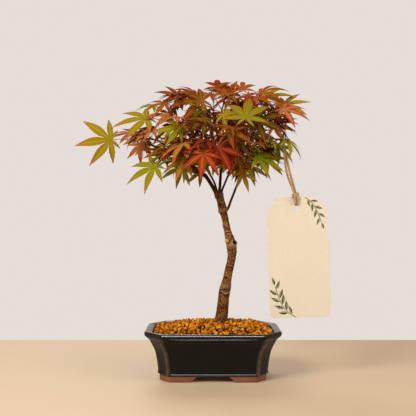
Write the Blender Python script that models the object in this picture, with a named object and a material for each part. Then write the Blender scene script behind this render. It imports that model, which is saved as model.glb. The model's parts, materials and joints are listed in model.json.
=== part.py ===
"""Bonsai maple in a glazed pot: pot, clay feet, gravel, trunk, boughs, leaf sprays and a hang tag.

Lengths in the tables are millimetres and become metres through MM. +X is to the right, +Y to
the back and +Z up. Everything is laid out from the middle of the pot, and the last step moves
the whole plant so that the origin lies under the middle of its box.
"""
import math
import random

import bmesh
import bpy
from mathutils import Matrix, Vector
from mathutils.bvhtree import BVHTree

MM = 0.001
CLEAR = 0.3          # space kept between pieces that meet
SEED = 7

# Pot: a clipped rectangle in plan, flared like a bell from foot to lip.
POT_HALF_LENGTH = 75.0
POT_HALF_DEPTH = 50.0
POT_OUTSIDE = (      # height, how far the wall stands in from the lip's outline
    (6.5, 16.2), (9.3, 15.7), (21.0, 14.4), (32.0, 12.4), (39.0, 9.6), (43.5, 7.2),
    (47.5, 2.6), (49.2, 0.6), (51.5, 0.0), (53.2, 0.7), (54.0, 2.6))
POT_INSIDE = ((54.0, 6.4), (51.5, 8.6), (40.0, 13.6), (14.0, 20.0))
LIP_CLIP = (20.5, 24.0)      # corner cut along X and along Y at the lip
WALL_CLIP = (12.6, 14.8)     # the same just under the flare of the lip
FOOT_CLIP = (10.8, 12.7)     # and at the foot
LIP_FLARE = 7.6              # inset at which the lip's wide corner has run out
FOOT_INSET = 16.8
DRAIN_RADIUS = 5.0
DRAIN_PLACES = (-26.0, 26.0)

# Feet: one at each corner, coved where it ends.
FOOT_WALL = 9.0
FOOT_COVE = ((0.0, 22.7, 10.0), (3.4, 20.6, 8.2), (6.2, 16.0, 5.0))  # height, end on X, end on Y

# Gravel: heaped towards the trunk.
GRAVEL_GAP = 0.45
GRAVEL_EDGE = 51.6
GRAVEL_TOP = 57.6
GRAVEL_HEAP = 1.6            # above 1 the heap is flat at the trunk and steep at the edge
GRAVEL_CREST = 60.0          # height that the heap rises to beside the trunk
GRAVEL_GRAIN = 2.2           # how far the lumps of grain stand over and under the bed's surface
GRAVEL_PARTS = 7             # lumps along each of the eight sides
GRAVEL_RINGS = (0.975, 0.90, 0.82, 0.74, 0.66, 0.58, 0.50, 0.42, 0.34, 0.27)

# Trunk: middle line and radius from the soil to the fork.
TRUNK_LINE = (
    ((9.0, 0.0, 57.9), 7.8), ((10.3, 0.0, 70.0), 6.7), ((12.1, 0.0, 87.0), 6.0),
    ((13.8, 0.4, 97.0), 6.3), ((15.6, 0.8, 106.0), 5.1), ((17.5, 0.8, 116.0), 4.5),
    ((21.2, 0.4, 133.0), 4.6), ((20.6, 0.0, 146.0), 5.6), ((16.4, -0.4, 161.7), 3.9),
    ((12.9, -0.4, 178.5), 3.9), ((11.2, -0.2, 184.4), 4.8), ((8.6, 0.0, 195.8), 4.3),
    ((6.6, 0.3, 205.4), 4.9))
TRUNK_SIDES = 10
TRUNK_ROUGH = 0.04
ROOT_FLARE = 0.10            # how far the flare's five ridges stand out, as a share of the radius
FLARE_RINGS = 4
STUBS = (                    # old pruning cuts: middle, direction, radius
    ((18.2, -1.0, 148.6), (-0.80, -0.35, 0.55), 2.2),
    ((21.5, -1.0, 146.4), (0.80, -0.45, 0.55), 3.0))
STUB_LENGTH = 7.2

# Boughs: middle line, radius at the foot and at the tip.
BOUGHS = {
    "bough_left": (((2.3, -1.4, 206.6), (-5.2, -4.0, 219.0), (-9.5, -6.0, 223.4),
                    (-16.6, -9.0, 227.5), (-23.1, -12.0, 234.0), (-31.2, -14.0, 240.5)), 2.3, 1.4),
    "bough_back_left": (((4.6, 3.4, 206.6), (1.2, 8.0, 217.5), (-3.8, 14.0, 226.8),
                         (-8.1, 22.0, 239.6), (-13.0, 30.0, 252.0)), 1.3, 1.0),
    "bough_leader": (((7.5, -1.8, 206.6), (8.6, -2.0, 225.0), (9.1, -1.0, 235.0),
                      (8.0, 1.0, 252.0), (5.0, 3.0, 268.0), (3.0, 3.0, 282.0)), 1.8, 1.1),
    "bough_back_right": (((10.0, 2.6, 206.6), (16.2, 6.5, 221.8), (21.3, 11.0, 234.7),
                          (30.5, 21.0, 251.0), (36.0, 28.0, 262.0)), 1.3, 1.0),
    "bough_right": (((16.6, -1.6, 186.8), (20.2, -3.2, 196.0), (26.2, -6.0, 211.8),
                     (33.0, -11.0, 231.9), (37.6, -15.0, 246.1), (38.8, -17.0, 258.0)), 1.5, 1.0),
}
BOUGH_SIDES = 7

# Leaves: each lobe's angle from the middle lobe, and its length as a share of that lobe.
LOBES = ((-136, 0.34), (-90, 0.62), (-44, 0.93), (0, 1.0), (44, 0.93), (90, 0.62), (136, 0.34))
LOBE_HALF_WIDTH = 0.108      # of the middle lobe's length, at the widest
LOBE_WIDEST = 0.47           # where a lobe is widest, along itself
NOTCH = 0.17                 # how near the stalk the cuts between lobes reach
HEEL = 0.05                  # how far the blade reaches behind the stalk's end
HEEL_HALF_WIDTH = 0.7
LOBE_SMALL = 0.7             # lobes up to this share are plain points
LEAF_THICK = 0.62
LEAF_DROOP = 0.20
STALK_RADIUS = 0.55
STALK_LENGTH = (13.0, 27.0)
BLADE_LENGTH = (20.0, 31.0)

# The crown's outer space, and the places in it where sky shows through from the front.
CROWN_MIDDLE = (0.0, 0.0, 270.0)
CROWN_HALF = (106.0, 80.0, 57.0)
EYE = (-5.5, -790.0, 187.5)
SKY_GAPS = ((-3.0, 306.0, 6.5), (9.0, 303.0, 7.0), (-27.0, 296.0, 6.5), (-7.0, 275.0, 4.0),
            (60.0, 272.0, 7.0), (-62.0, 262.0, 6.0), (-51.0, 229.0, 6.0), (-21.0, 224.0, 5.0))

# Sprays: the leaves' tint, the bough that each grows from, how far along it, the fork of its
# twigs, how far its own space reaches from there, the number of leaves that the rule adds, and
# its leading leaves. A leading leaf: place of its stalk's end, turn of the middle lobe (0 right,
# 90 up), degrees that this lobe points out of the crown, degrees that the upper face is rolled
# from the side to the sky, and the length of its blade.
SPRAYS = (
    ("spray_far_left", "olive", "bough_left", 1.00, (-62, -14, 262), 36, 4, (
        ((-113, -10, 263), 188, 0, 8, 40), ((-92, 8, 272), 198, 10, 64, 27),
        ((-65, -18, 274), 200, 5, 60, 25))),
    ("spray_low_left", "lime", "bough_left", 0.92, (-46, -18, 240), 34, 3, (
        ((-63, -20, 233), 212, 0, 42, 35), ((-55, -10, 250), 176, 0, 60, 28))),
    ("spray_left_front", "orange", "bough_left", 0.80, (-22, -28, 250), 34, 4, (
        ((-31, -42, 256), 213, 5, 72, 34), ((-31, -31, 240), 250, 15, 30, 25))),
    ("spray_upper_left", "olive", "bough_back_left", 1.00, (-40, 8, 284), 42, 7, (
        ((-72, -4, 288), 196, 0, 50, 40), ((-67, 17, 304), 192, 0, 62, 23),
        ((-46, -14, 289), 184, 5, 50, 28))),
    ("spray_back_left", "olive", "bough_back_left", 0.93, (-50, 36, 264), 42, 7, (
        ((-80, 42, 270), 190, 23, 35, 30), ((-48, 66, 268), 240, 34, 40, 30))),
    ("spray_back_low_left", "green", "bough_back_left", 0.62, (-26, 40, 240), 38, 3, (
        ((-38, 56, 236), 250, 34, 35, 29), ((-14, 22, 230), 225, 5, 30, 22))),
    ("spray_crown_left", "bronze", "bough_leader", 1.00, (-18, 2, 304), 38, 5, (
        ((-39, 5, 313), 169, 0, 45, 27), ((-20, 10, 318), 172, 10, 60, 26),
        ((-53, -6, 304), 196, 5, 55, 25))),
    ("spray_crown_front", "bronze", "bough_leader", 0.92, (0, -20, 294), 32, 4, (
        ((-12, -30, 303), 193, 0, 38, 39), ((13, -14, 313), 104, -45, 70, 25),
        ((-27, -12, 311), 186, 10, 55, 26), ((11, -36, 288), 322, 10, 32, 23))),
    ("spray_left_face", "olive", "bough_leader", 0.74, (-20, -28, 272), 34, 5, (
        ((-36, -42, 273), 190, 5, 15, 27), ((-8, -48, 281), 216, 15, 42, 27),
        ((-14, -24, 292), 197, 5, 55, 23))),
    ("spray_crown_top", "crimson", "bough_leader", 0.97, (14, 6, 312), 32, 7, (
        ((6, -5, 322), 90, -62, 62, 27), ((33, 5, 321), 88, -55, 60, 25),
        ((19, 12, 318), 60, -40, 60, 25), ((21, -14, 311), 212, 0, 55, 26),
        ((-2, 4, 315), 196, 0, 60, 26))),
    ("spray_crown_back", "crimson", "bough_leader", 0.84, (2, 40, 298), 42, 8, (
        ((-14, 58, 300), 230, 38, 42, 29), ((24, 56, 304), 310, 34, 45, 29))),
    ("spray_front_red", "crimson", "bough_leader", 0.50, (2, -36, 258), 34, 4, (
        ((-10, -62, 244), 262, 20, 5, 29), ((5, -52, 251), 300, 8, 20, 31),
        ((26, -46, 260), 262, 6, 35, 26))),
    ("spray_crown_right", "orange", "bough_back_right", 1.00, (46, 12, 304), 40, 7, (
        ((53, -6, 316), 4, 5, 58, 30), ((59, 9, 313), 3, 0, 56, 35),
        ((79, 0, 303), 7, 0, 45, 31), ((38, -16, 311), 300, 20, 55, 24),
        ((70, -10, 302), 340, 0, 50, 26), ((44, -22, 305), 352, 0, 68, 27))),
    ("spray_back_right", "bronze", "bough_back_right", 0.90, (54, 38, 278), 40, 5, (
        ((72, 36, 284), 352, 23, 42, 28), ((52, 64, 278), 300, 34, 40, 30))),
    ("spray_back_low_right", "green", "bough_back_right", 0.60, (34, 40, 244), 40, 6, (
        ((44, 56, 238), 290, 34, 35, 28), ((62, 30, 246), 318, 10, 40, 28))),
    ("spray_right_face", "salmon", "bough_right", 1.00, (54, -18, 284), 36, 6, (
        ((73, -18, 291), 338, 5, 50, 31), ((46, -44, 281), 334, 5, 25, 33))),
    ("spray_front_light", "bronze", "bough_right", 0.93, (34, -34, 268), 30, 4, (
        ((34, -58, 281), 77, -42, 70, 38),)),
    ("spray_tag_twig", "green", "bough_right", 0.86, (56, -22, 266), 32, 3, (
        ((80.5, -23, 261), 312, 5, 72, 25), ((71, -8, 256), 312, 5, 50, 25))),
    ("spray_low_right", "green", "bough_right", 0.66, (42, -24, 246), 34, 5, (
        ((48, -35, 242), 331, 0, 50, 32), ((32, -18, 226), 288, 5, 25, 21),
        ((27, -32, 240), 284, 10, 40, 24))),
)
TINTS = {
    "olive": (0.27, 0.2, 0.015), "lime": (0.33, 0.33, 0.02), "green": (0.13, 0.17, 0.01),
    "orange": (0.4, 0.13, 0.03), "salmon": (0.42, 0.13, 0.08), "bronze": (0.13, 0.05, 0.02),
    "crimson": (0.3, 0.05, 0.035),
}
STEM_RADIUS = 1.0
TWIG_RADIUS = 0.75
GUARD = 0.45                 # room tested round a new twig or leaf
LEAD_TRIES = 30              # tries for a leading leaf, each a little further from its place
FILL_ROUNDS = 200            # tries that each spray gets for its own leaves

# Hang tag on a loop of jute twine, and the twig that the loop goes over.
TWINE_RADIUS = 1.15
TWINE_SLACK = 0.9
TWINE_TOP = (76.0, -22.6, 263.8)
TWINE_BEND = (81.4, -22.4, 228.5)
TWINE_KNOT = (89.2, -22.4, 203.0)
TAG_HOLE = (91.1, -22.4, 188.3)
TAG_HOLE_RADIUS = 3.9
TAG_WIDTH = 67.0
TAG_TOP = 11.3               # the card's edges measured from the hole
TAG_BOTTOM = -120.2
TAG_CLIP = (13.0, 16.0)
TAG_CORNER = 6.0
TAG_THICK = 0.6
TAG_TILT = math.radians(2.2)


def finish(name, colour, roughness, metallic=0.0):
    """A plain material with the piece's own colour."""
    material = bpy.data.materials.new(name)
    material.use_nodes = True
    shader = material.node_tree.nodes["Principled BSDF"]
    shader.inputs["Base Color"].default_value = (*colour, 1.0)
    shader.inputs["Roughness"].default_value = roughness
    shader.inputs["Metallic"].default_value = metallic
    return material


def add_object(name, verts, faces, material=None, smooth=True):
    """An object from points in millimetres."""
    mesh = bpy.data.meshes.new(name)
    mesh.from_pydata([Vector(v) * MM for v in verts], [], faces)
    if smooth:
        mesh.shade_smooth()
        mesh.set_sharp_from_angle(angle=math.radians(40))
    if material:
        mesh.materials.append(material)
    made = bpy.data.objects.new(name, mesh)
    bpy.context.scene.collection.objects.link(made)
    return made


def clip_at(inset):
    """How much the pot's corner is cut along X and Y where the wall stands in by inset."""
    if inset < LIP_FLARE:
        share, outer, inner = inset / LIP_FLARE, LIP_CLIP, WALL_CLIP
    else:
        share = (inset - LIP_FLARE) / (FOOT_INSET - LIP_FLARE)
        outer, inner = WALL_CLIP, FOOT_CLIP
    return [a + (b - a) * share for a, b in zip(outer, inner)]


def pot_corners(inset, z):
    """The eight corners of the pot's outline, anticlockwise from the front of the right end."""
    x, y = POT_HALF_LENGTH - inset, POT_HALF_DEPTH - inset
    clip_x, clip_y = clip_at(inset)
    quarter = [(x, y - clip_y), (x - clip_x, y)]
    plan = [(x, -(y - clip_y))] + quarter + [(-a, b) for a, b in reversed(quarter)]
    plan += [(-a, -b) for a, b in quarter] + [(x - clip_x, -y)]
    return [(a, b, z) for a, b in plan]


def loft(rings):
    """Faces between rings of points, with both ends closed."""
    count = len(rings[0])
    verts = [point for ring in rings for point in ring]
    faces = [tuple(reversed(range(count)))]
    for row in range(len(rings) - 1):
        for i in range(count):
            j = (i + 1) % count
            low, high = row * count, (row + 1) * count
            faces.append((low + i, low + j, high + j, high + i))
    faces.append(tuple(range((len(rings) - 1) * count, len(rings) * count)))
    return verts, faces


def cut_or_join(target, other, operation):
    """Run one Boolean on target, keep its result and drop the other object."""
    step = target.modifiers.new(operation.title(), "BOOLEAN")
    step.operation = operation
    step.solver = "EXACT"
    step.object = other
    replace_mesh(target)
    bpy.data.objects.remove(other)


def replace_mesh(target):
    """Apply the modifiers that an object carries."""
    graph = bpy.context.evaluated_depsgraph_get()
    mesh = bpy.data.meshes.new_from_object(target.evaluated_get(graph))
    target.modifiers.clear()
    target.data = mesh


def smooth_line(points, steps):
    """A Catmull-Rom line through points, with steps places for each span."""
    pts = [Vector(p) for p in points]
    pts = [pts[0] * 2 - pts[1]] + pts + [pts[-1] * 2 - pts[-2]]
    line = []
    for a, b, c, d in zip(pts, pts[1:], pts[2:], pts[3:]):
        for step in range(steps):
            t = step / steps
            line.append(0.5 * (2 * b + (c - a) * t + (2 * a - 5 * b + 4 * c - d) * t * t
                               + (3 * b - 3 * c + d - a) * t * t * t))
    return line + [pts[-2]]


def tube(points, radii, sides, closed=False, shape=None):
    """A round limb along points; shape(ring, angle) scales the radius where it is given."""
    pts = [Vector(p) for p in points]
    last = len(pts) - 1
    rings = []
    side = None
    for i, point in enumerate(pts):
        before = pts[i - 1] if closed or i else point
        after = pts[(i + 1) % len(pts)] if closed or i < last else point
        along = (after - before).normalized()
        if side is None:
            side = along.orthogonal().normalized()
        side = (side - along * side.dot(along)).normalized()
        across = along.cross(side)
        ring = []
        for k in range(sides):
            angle = math.tau * k / sides
            reach = radii[i] * (shape(i, angle) if shape else 1.0)
            ring.append(point + (side * math.cos(angle) + across * math.sin(angle)) * reach)
        rings.append(ring)
    if not closed:
        return loft(rings)
    verts, faces = loft(rings)
    faces = faces[1:-1]
    turn = round(math.atan2((rings[0][0] - pts[0]).dot(across), (rings[0][0] - pts[0]).dot(side))
                 / math.tau * sides)
    base = last * sides
    for k in range(sides):
        faces.append((base + (k + turn) % sides, base + (k + 1 + turn) % sides,
                      (k + 1) % sides, k % sides))
    return verts, faces


def make_pot():
    """The glazed body, open at the top, with two drain holes in its floor."""
    rings = [pot_corners(inset, z) for z, inset in POT_OUTSIDE + POT_INSIDE]
    glaze = finish("pot_glaze", (0.006, 0.007, 0.009), 0.12)
    pot = add_object("pot", *loft(rings), glaze)
    for x in DRAIN_PLACES:
        hole = add_object("drain", *tube(((x, 0, 0), (x, 0, 30)), (DRAIN_RADIUS,) * 2, 12))
        cut_or_join(pot, hole, "DIFFERENCE")


def make_feet():
    """Four unglazed corner feet; the pot's outline carried down, coved at the open ends."""
    clay = finish("bare_clay", (0.2, 0.055, 0.037), 0.85)
    for name, right, back in (("foot_front_right", 1, -1), ("foot_front_left", -1, -1),
                              ("foot_back_right", 1, 1), ("foot_back_left", -1, 1)):
        rings = []
        for z, end_x, end_y in FOOT_COVE:
            inset = FOOT_INSET + (0.5 if z == 0 else 0.0)
            x, y = POT_HALF_LENGTH - inset, POT_HALF_DEPTH - inset
            clip_x, clip_y = FOOT_CLIP
            inner_x, inner_y = x - FOOT_WALL, y - FOOT_WALL
            plan = [(x, end_y), (x, y - clip_y), (x - clip_x, y), (end_x, y), (end_x, inner_y),
                    (inner_x - clip_x / 2, inner_y), (inner_x, inner_y - clip_y / 2),
                    (inner_x, end_y)]
            ring = [(right * a, back * b, z) for a, b in plan]
            rings.append(ring if right * back > 0 else ring[::-1])
        add_object(name, *loft(rings), clay, smooth=False)


def make_gravel(dice):
    """The bed of gravel: fills the pot to its lip and heaps up to a flat seat for the trunk."""
    def spaced(corners):
        ring = []
        for a, b in zip(corners, corners[1:] + corners[:1]):
            ring += [Vector(a).lerp(Vector(b), k / GRAVEL_PARTS) for k in range(GRAVEL_PARTS)]
        return ring

    sides = [(z, inset + GRAVEL_GAP) for z, inset in reversed(POT_INSIDE[1:])]
    sides[0] = (sides[0][0] + CLEAR, sides[0][1])
    sides[-1] = (GRAVEL_EDGE - 0.8, sides[-1][1])
    rings = [spaced(pot_corners(inset, z)) for z, inset in sides]
    foot = Vector(TRUNK_LINE[0][0])
    for row, share in enumerate(GRAVEL_RINGS):
        ring = []
        for k, point in enumerate(rings[len(sides) - 1]):
            z = GRAVEL_CREST + (GRAVEL_EDGE - GRAVEL_CREST) * share ** GRAVEL_HEAP
            lump = GRAVEL_GRAIN * dice.uniform(0.5, 1.0) * (1 if (k + row) % 2 else -1)
            z = GRAVEL_TOP if share == GRAVEL_RINGS[-1] else z + lump
            spot = foot.lerp(point, share)
            ring.append((spot.x, spot.y, z))
        rings.append(ring)
    stone = finish("fired_clay_gravel", (0.52, 0.2, 0.02), 0.9)
    add_object("gravel_bed", *loft(rings), stone, smooth=False)


def make_trunk(bark, dice):
    """The trunk, flat at the soil, with ridged flare, ring scars and two old cuts."""
    steps = 2
    line = smooth_line([p for p, r in TRUNK_LINE], steps)
    sizes = [r for p, r in TRUNK_LINE]
    radii = []
    for a, b in zip(sizes, sizes[1:]):
        radii += [a + (b - a) * k / steps for k in range(steps)]
    radii.append(sizes[-1])
    rough = [[dice.uniform(-TRUNK_ROUGH, TRUNK_ROUGH) for k in range(TRUNK_SIDES)] for p in line]

    def shape(ring, angle):
        flare = ROOT_FLARE * math.cos(5 * angle) * max(0.0, 1 - ring / FLARE_RINGS)
        return 1 + flare + rough[ring][round(angle / math.tau * TRUNK_SIDES) % TRUNK_SIDES]

    verts, faces = tube(line, radii, TRUNK_SIDES, shape=shape)
    for k in range(TRUNK_SIDES):
        verts[k].z = TRUNK_LINE[0][0][2]
        verts[k - TRUNK_SIDES].z = TRUNK_LINE[-1][0][2]
    trunk = add_object("trunk", verts, faces, bark)
    for place, way, radius in STUBS:
        start = Vector(place)
        end = start + Vector(way).normalized() * STUB_LENGTH
        stub = add_object("stub", *tube((start, end), (radius * 1.15, radius), 8))
        cut_or_join(trunk, stub, "UNION")


def bough_line(name, steps=2):
    """The middle line of a bough and its radius at each place."""
    points, thick, thin = BOUGHS[name]
    line = smooth_line(points, steps)
    return line, [thick + (thin - thick) * i / (len(line) - 1) for i in range(len(line))]


def bough_tube(name):
    """A bough's surface; one that stands on the fork is cut flat just above it."""
    line, radii = bough_line(name)
    verts, faces = tube(line, radii, BOUGH_SIDES)
    seat = TRUNK_LINE[-1][0][2] + CLEAR
    if line[0].z > seat:
        for k in range(BOUGH_SIDES):
            verts[k].z = seat
    return verts, faces


def blade_rim(length):
    """Points round a leaf, anticlockwise from the right of its stalk; middle lobe along +X."""
    plan = [(-HEEL * length, -HEEL_HALF_WIDTH)]

    def polar(angle, reach):
        turn = math.radians(angle)
        plan.append((math.cos(turn) * reach * length, math.sin(turn) * reach * length))

    before, shorter = None, None
    for angle, share in LOBES:
        if before is not None:
            polar((angle + before) / 2, NOTCH * min(share, shorter) ** 0.7)
        half = math.degrees(math.atan2(LOBE_HALF_WIDTH, LOBE_WIDEST))
        if share > LOBE_SMALL:
            polar(angle - half, LOBE_WIDEST * share)
        polar(angle, share)
        if share > LOBE_SMALL:
            polar(angle + half, LOBE_WIDEST * share)
        before, shorter = angle, share
    plan.append((-HEEL * length, HEEL_HALF_WIDTH))
    return [Vector((x, y, -LEAF_DROOP * (x * x + y * y) / length)) for x, y in plan]


def blade(length, frame, guard=0.0):
    """A blade by itself, or swollen on all sides by guard to test the room that it needs."""
    rim = blade_rim(length * (1.03 if guard else 1.0))
    half = LEAF_THICK / 2 + guard
    lift = Vector((0, 0, guard))
    count = len(rim)
    points = [Vector((0, 0, half)), Vector((0, 0, -half))]
    points += [p + lift for p in rim] + [p - lift for p in rim]
    faces = []
    for i in range(count):
        j = (i + 1) % count
        top, under = 2, 2 + count
        faces += [(0, top + i, top + j), (1, under + j, under + i),
                  (top + i, under + i, under + j, top + j)]
    return [frame @ p for p in points], faces


def leaf(length, frame, path):
    """A closed leaf: a thin lens of a blade that runs on into its four-sided stalk."""
    rim = blade_rim(length)
    half = LEAF_THICK / 2
    verts = [frame @ p for p in (Vector((0, 0, half)), Vector((0, 0, -half)), *rim)]
    faces = []
    for i in range(2, len(rim) + 1):
        faces += [(0, i, i + 1), (1, i + 1, i)]
    ring = [0, len(rim) + 1, 1, 2]
    up = frame.to_3x3() @ Vector((0, 0, 1))
    points = [frame.translation, *reversed(path)]
    for before, point in zip(points, points[1:]):
        back = (before - point).normalized()
        up = (up - back * up.dot(back)).normalized()
        left = up.cross(back)
        fresh = [len(verts) + k for k in range(4)]
        verts += [point + way * STALK_RADIUS for way in (up, left, -up, -left)]
        faces += [(ring[k], ring[(k + 1) % 4], fresh[(k + 1) % 4], fresh[k]) for k in range(4)]
        ring = fresh
    faces.append(tuple(ring))
    return verts, faces


def facing(place, along, face):
    """A frame at place with +X along the middle lobe and +Z out of the upper face."""
    x = along.normalized()
    z = (face - x * face.dot(x)).normalized()
    y = z.cross(x)
    frame = Matrix((x, y, z)).transposed().to_4x4()
    frame.translation = place
    return frame


class Thicket:
    """The solids placed so far, asked whether a new one would touch them."""

    def __init__(self):
        self.placed = []

    def add(self, owner, kind, verts, faces):
        low = Vector(min(v[k] for v in verts) for k in range(3))
        high = Vector(max(v[k] for v in verts) for k in range(3))
        self.placed.append((owner, kind, BVHTree.FromPolygons(verts, faces), low, high))

    def touches(self, owner, kind, verts, faces):
        """True where the shape meets a foreign solid, or a leaf of its own spray."""
        low = [min(v[k] for v in verts) for k in range(3)]
        high = [max(v[k] for v in verts) for k in range(3)]
        tree = BVHTree.FromPolygons(verts, faces)
        for other, sort, solid, bottom, top in self.placed:
            if other == owner and kind == "wood" and sort == "wood":
                continue
            if any(low[k] > top[k] or high[k] < bottom[k] for k in range(3)):
                continue
            if tree.overlap(solid):
                return True
        return False


def seen(point):
    """Where a point shows, from the front, on the upright plane through the trunk."""
    eye = Vector(EYE)
    share = -eye.y / (point.y - eye.y)
    return eye.x + (point.x - eye.x) * share, eye.z + (point.z - eye.z) * share


def hides_sky(verts):
    """True where a leaf would cover a gap that stays open."""
    spots = [seen(v) for v in verts]
    return any(math.hypot(x - gx, z - gz) < r for x, z in spots for gx, gz, r in SKY_GAPS)


def in_crown(point):
    """True inside the crown's rounded space."""
    share = [(point[k] - CROWN_MIDDLE[k]) / CROWN_HALF[k] for k in range(3)]
    return sum(s * s for s in share) <= 1.0


def bent(start, end, sag, dice, wild):
    """Three points of a stalk or twig from start to end, bowed upwards by sag."""
    middle = start.lerp(end, 0.5) + Vector((0, 0, sag))
    middle += Vector(dice.uniform(-wild, wild) for k in range(3))
    return [start, middle, end]


class Spray:
    """One mass of foliage: a stem, twigs and leaves that keep to their own space."""

    def __init__(self, row, thicket, dice):
        self.name, self.tint, self.bough, self.share, hub, self.reach, self.fill, self.leads = row
        self.hub = Vector(hub)
        self.thicket, self.dice = thicket, dice
        self.solids = []
        self.nodes = []

    def grow_wood(self, start, end, thick, thin, steps=1, tries=40):
        """A twig from start to end that misses everything foreign, or nothing."""
        for attempt in range(tries):
            line = smooth_line(bent(start, end, 1.5, self.dice, 0.5 + attempt * 0.35), steps)
            radii = [thick + (thin - thick) * i / (len(line) - 1) for i in range(len(line))]
            twig = tube(line, radii, 3)
            guard = tube(line[1:], [r + GUARD for r in radii[1:]], 6)
            if not any(self.thicket.touches(self.name, "wood", *t) for t in (twig, guard)):
                self.solids.append(twig)
                self.thicket.add(self.name, "wood", *twig)
                return line
        return None

    def grow_stem(self):
        """The stem, from beside its bough to the fork of the twigs."""
        line, radii = bough_line(self.bough)
        place = self.share * (len(line) - 1)
        i = min(int(place), len(line) - 2)
        spot = line[i].lerp(line[i + 1], place - i)
        radius = radii[i]
        along = (line[i + 1] - line[i]).normalized()
        way = self.hub - spot
        out = (way - along * way.dot(along)).normalized()
        leave, stand = (along, 0.0) if self.share == 1.0 else (out, radius)
        stand += CLEAR + STEM_RADIUS * leave.cross(way.normalized()).length
        start = spot + leave * stand
        stem = self.grow_wood(start, self.hub, STEM_RADIUS, TWIG_RADIUS, 2)
        self.nodes += stem[2:] if stem else []
        return bool(stem)

    def grow_leaf(self, node, frame, length, tries):
        """A stalk with its blade, kept only where both have room."""
        if self.thicket.touches(self.name, "leaf", *blade(length, frame, GUARD)):
            return False
        heel = frame.translation - frame.to_3x3() @ Vector((HEEL * length + 1.6, 0, 0.3))
        for attempt in range(tries):
            middle = node.lerp(heel, 0.5) + Vector((0, 0, 1))
            middle += Vector(self.dice.uniform(-1, 1) for k in range(3)) * (1 + attempt)
            path = (node, middle, heel)
            guard = tube((node.lerp(middle, 0.25), middle, heel), (STALK_RADIUS + GUARD,) * 3, 6)
            if not self.thicket.touches(self.name, "wood", *guard):
                self.solids.append(leaf(length, frame, path))
                self.thicket.add(self.name, "leaf", *blade(length, frame))
                self.thicket.add(self.name, "wood", *tube(path, (STALK_RADIUS,) * 3, 4))
                return True
        return False

    def grow_lead(self, place, turn, lean, roll, length):
        """A leading leaf at its own place, with a twig of its own where it is far out."""
        front = Vector((0, 1 if place[1] > 25 else -1, 0))
        turn, lean, roll = (math.radians(v) for v in (turn, lean, roll))
        along = Vector((math.cos(turn), 0, math.sin(turn))) * math.cos(lean)
        along += front * math.sin(lean)
        face = front * math.cos(roll) + Vector((0, 0, math.sin(roll)))
        along += face * LEAF_DROOP          # so that the drooping lobe's tip lies on its line
        for attempt in range(LEAD_TRIES):
            nudge = Vector(self.dice.uniform(-1, 1) * way for way in (0.15, 0.8, 0.15))
            spot = Vector(place) + nudge * attempt
            near = sorted(self.nodes, key=lambda n: (n - spot).length)
            node = near[attempt % min(3, len(near))]
            reach = spot - node
            if reach.length > STALK_LENGTH[1]:
                end = spot - reach.normalized() * STALK_LENGTH[1] * 0.8
                twig = self.grow_wood(node, end, TWIG_RADIUS, STALK_RADIUS)
                if twig:
                    self.nodes += twig[1:]
                    node = twig[-1]
            if self.grow_leaf(node, facing(spot, along, face), length, 10):
                return True
        return False

    def grow_by_rule(self):
        """One more leaf from a twig of this spray, or none where it finds no room."""
        dice = self.dice
        node = dice.choice(self.nodes)
        away = Vector((node.x - CROWN_MIDDLE[0], node.y - CROWN_MIDDLE[1], 0)).normalized()
        turn = Matrix.Rotation(math.radians(dice.uniform(-85, 85)), 3, "Z")
        rise = math.radians(dice.uniform(-25, 55))
        way = (turn @ away) * math.cos(rise) + Vector((0, 0, math.sin(rise)))
        place = node + way * dice.uniform(*STALK_LENGTH)
        length = dice.uniform(*BLADE_LENGTH)
        noise = [Vector(dice.uniform(-1, 1) for k in range(3)) for n in range(2)]
        along = way + away * 0.4 + Vector((0, 0, -0.5)) + noise[0] * 0.35
        face = away * 0.5 + Vector((0, 0, 0.85)) + noise[1] * 0.35
        frame = facing(place, along, face)
        tip = frame @ Vector((length, 0, 0))
        if (place - self.hub).length > self.reach or not in_crown(tip) or not in_crown(place):
            return False
        if hides_sky(blade(length, frame)[0]):
            return False
        return self.grow_leaf(node, frame, length, 4)


def join_spray(spray, material):
    """Fuse the stem, twigs, stalks and blades of a spray into one solid."""
    shelf = bpy.data.collections.new(spray.name + "_pieces")
    bpy.context.scene.collection.children.link(shelf)
    for i, (verts, faces) in enumerate(spray.solids[1:]):
        piece = add_object(f"{spray.name}_piece_{i}", verts, faces)
        bpy.context.scene.collection.objects.unlink(piece)
        shelf.objects.link(piece)
    whole = add_object(spray.name, *spray.solids[0])
    stem = whole.data
    for solver in ("EXACT", "MANIFOLD"):
        whole.data = stem
        step = whole.modifiers.new("Join", "BOOLEAN")
        step.operation = "UNION"
        step.solver = solver
        step.operand_type = "COLLECTION"
        step.collection = shelf
        replace_mesh(whole)
        drop_scraps(whole)
        if is_closed(whole.data):
            break
    for piece in list(shelf.objects):
        bpy.data.objects.remove(piece)
    bpy.data.collections.remove(shelf)
    whole.data.materials.clear()
    whole.data.materials.append(material)


def is_closed(mesh):
    """True where every edge has two faces."""
    body = bmesh.new()
    body.from_mesh(mesh)
    closed = all(len(edge.link_faces) == 2 for edge in body.edges)
    body.free()
    return closed


def drop_scraps(target):
    """Keep the largest piece of a mesh whose faces hang together by their edges."""
    body = bmesh.new()
    body.from_mesh(target.data)
    unseen = set(body.faces)
    groups = []
    while unseen:
        group, rim = [], [unseen.pop()]
        while rim:
            face = rim.pop()
            group.append(face)
            beside = {near for edge in face.edges for near in edge.link_faces} & unseen
            unseen -= beside
            rim += beside
        groups.append(group)
    groups.sort(key=len)
    loose = [face for group in groups[:-1] for face in group]
    bmesh.ops.delete(body, geom=loose, context="FACES")
    body.to_mesh(target.data)
    body.free()


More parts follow.
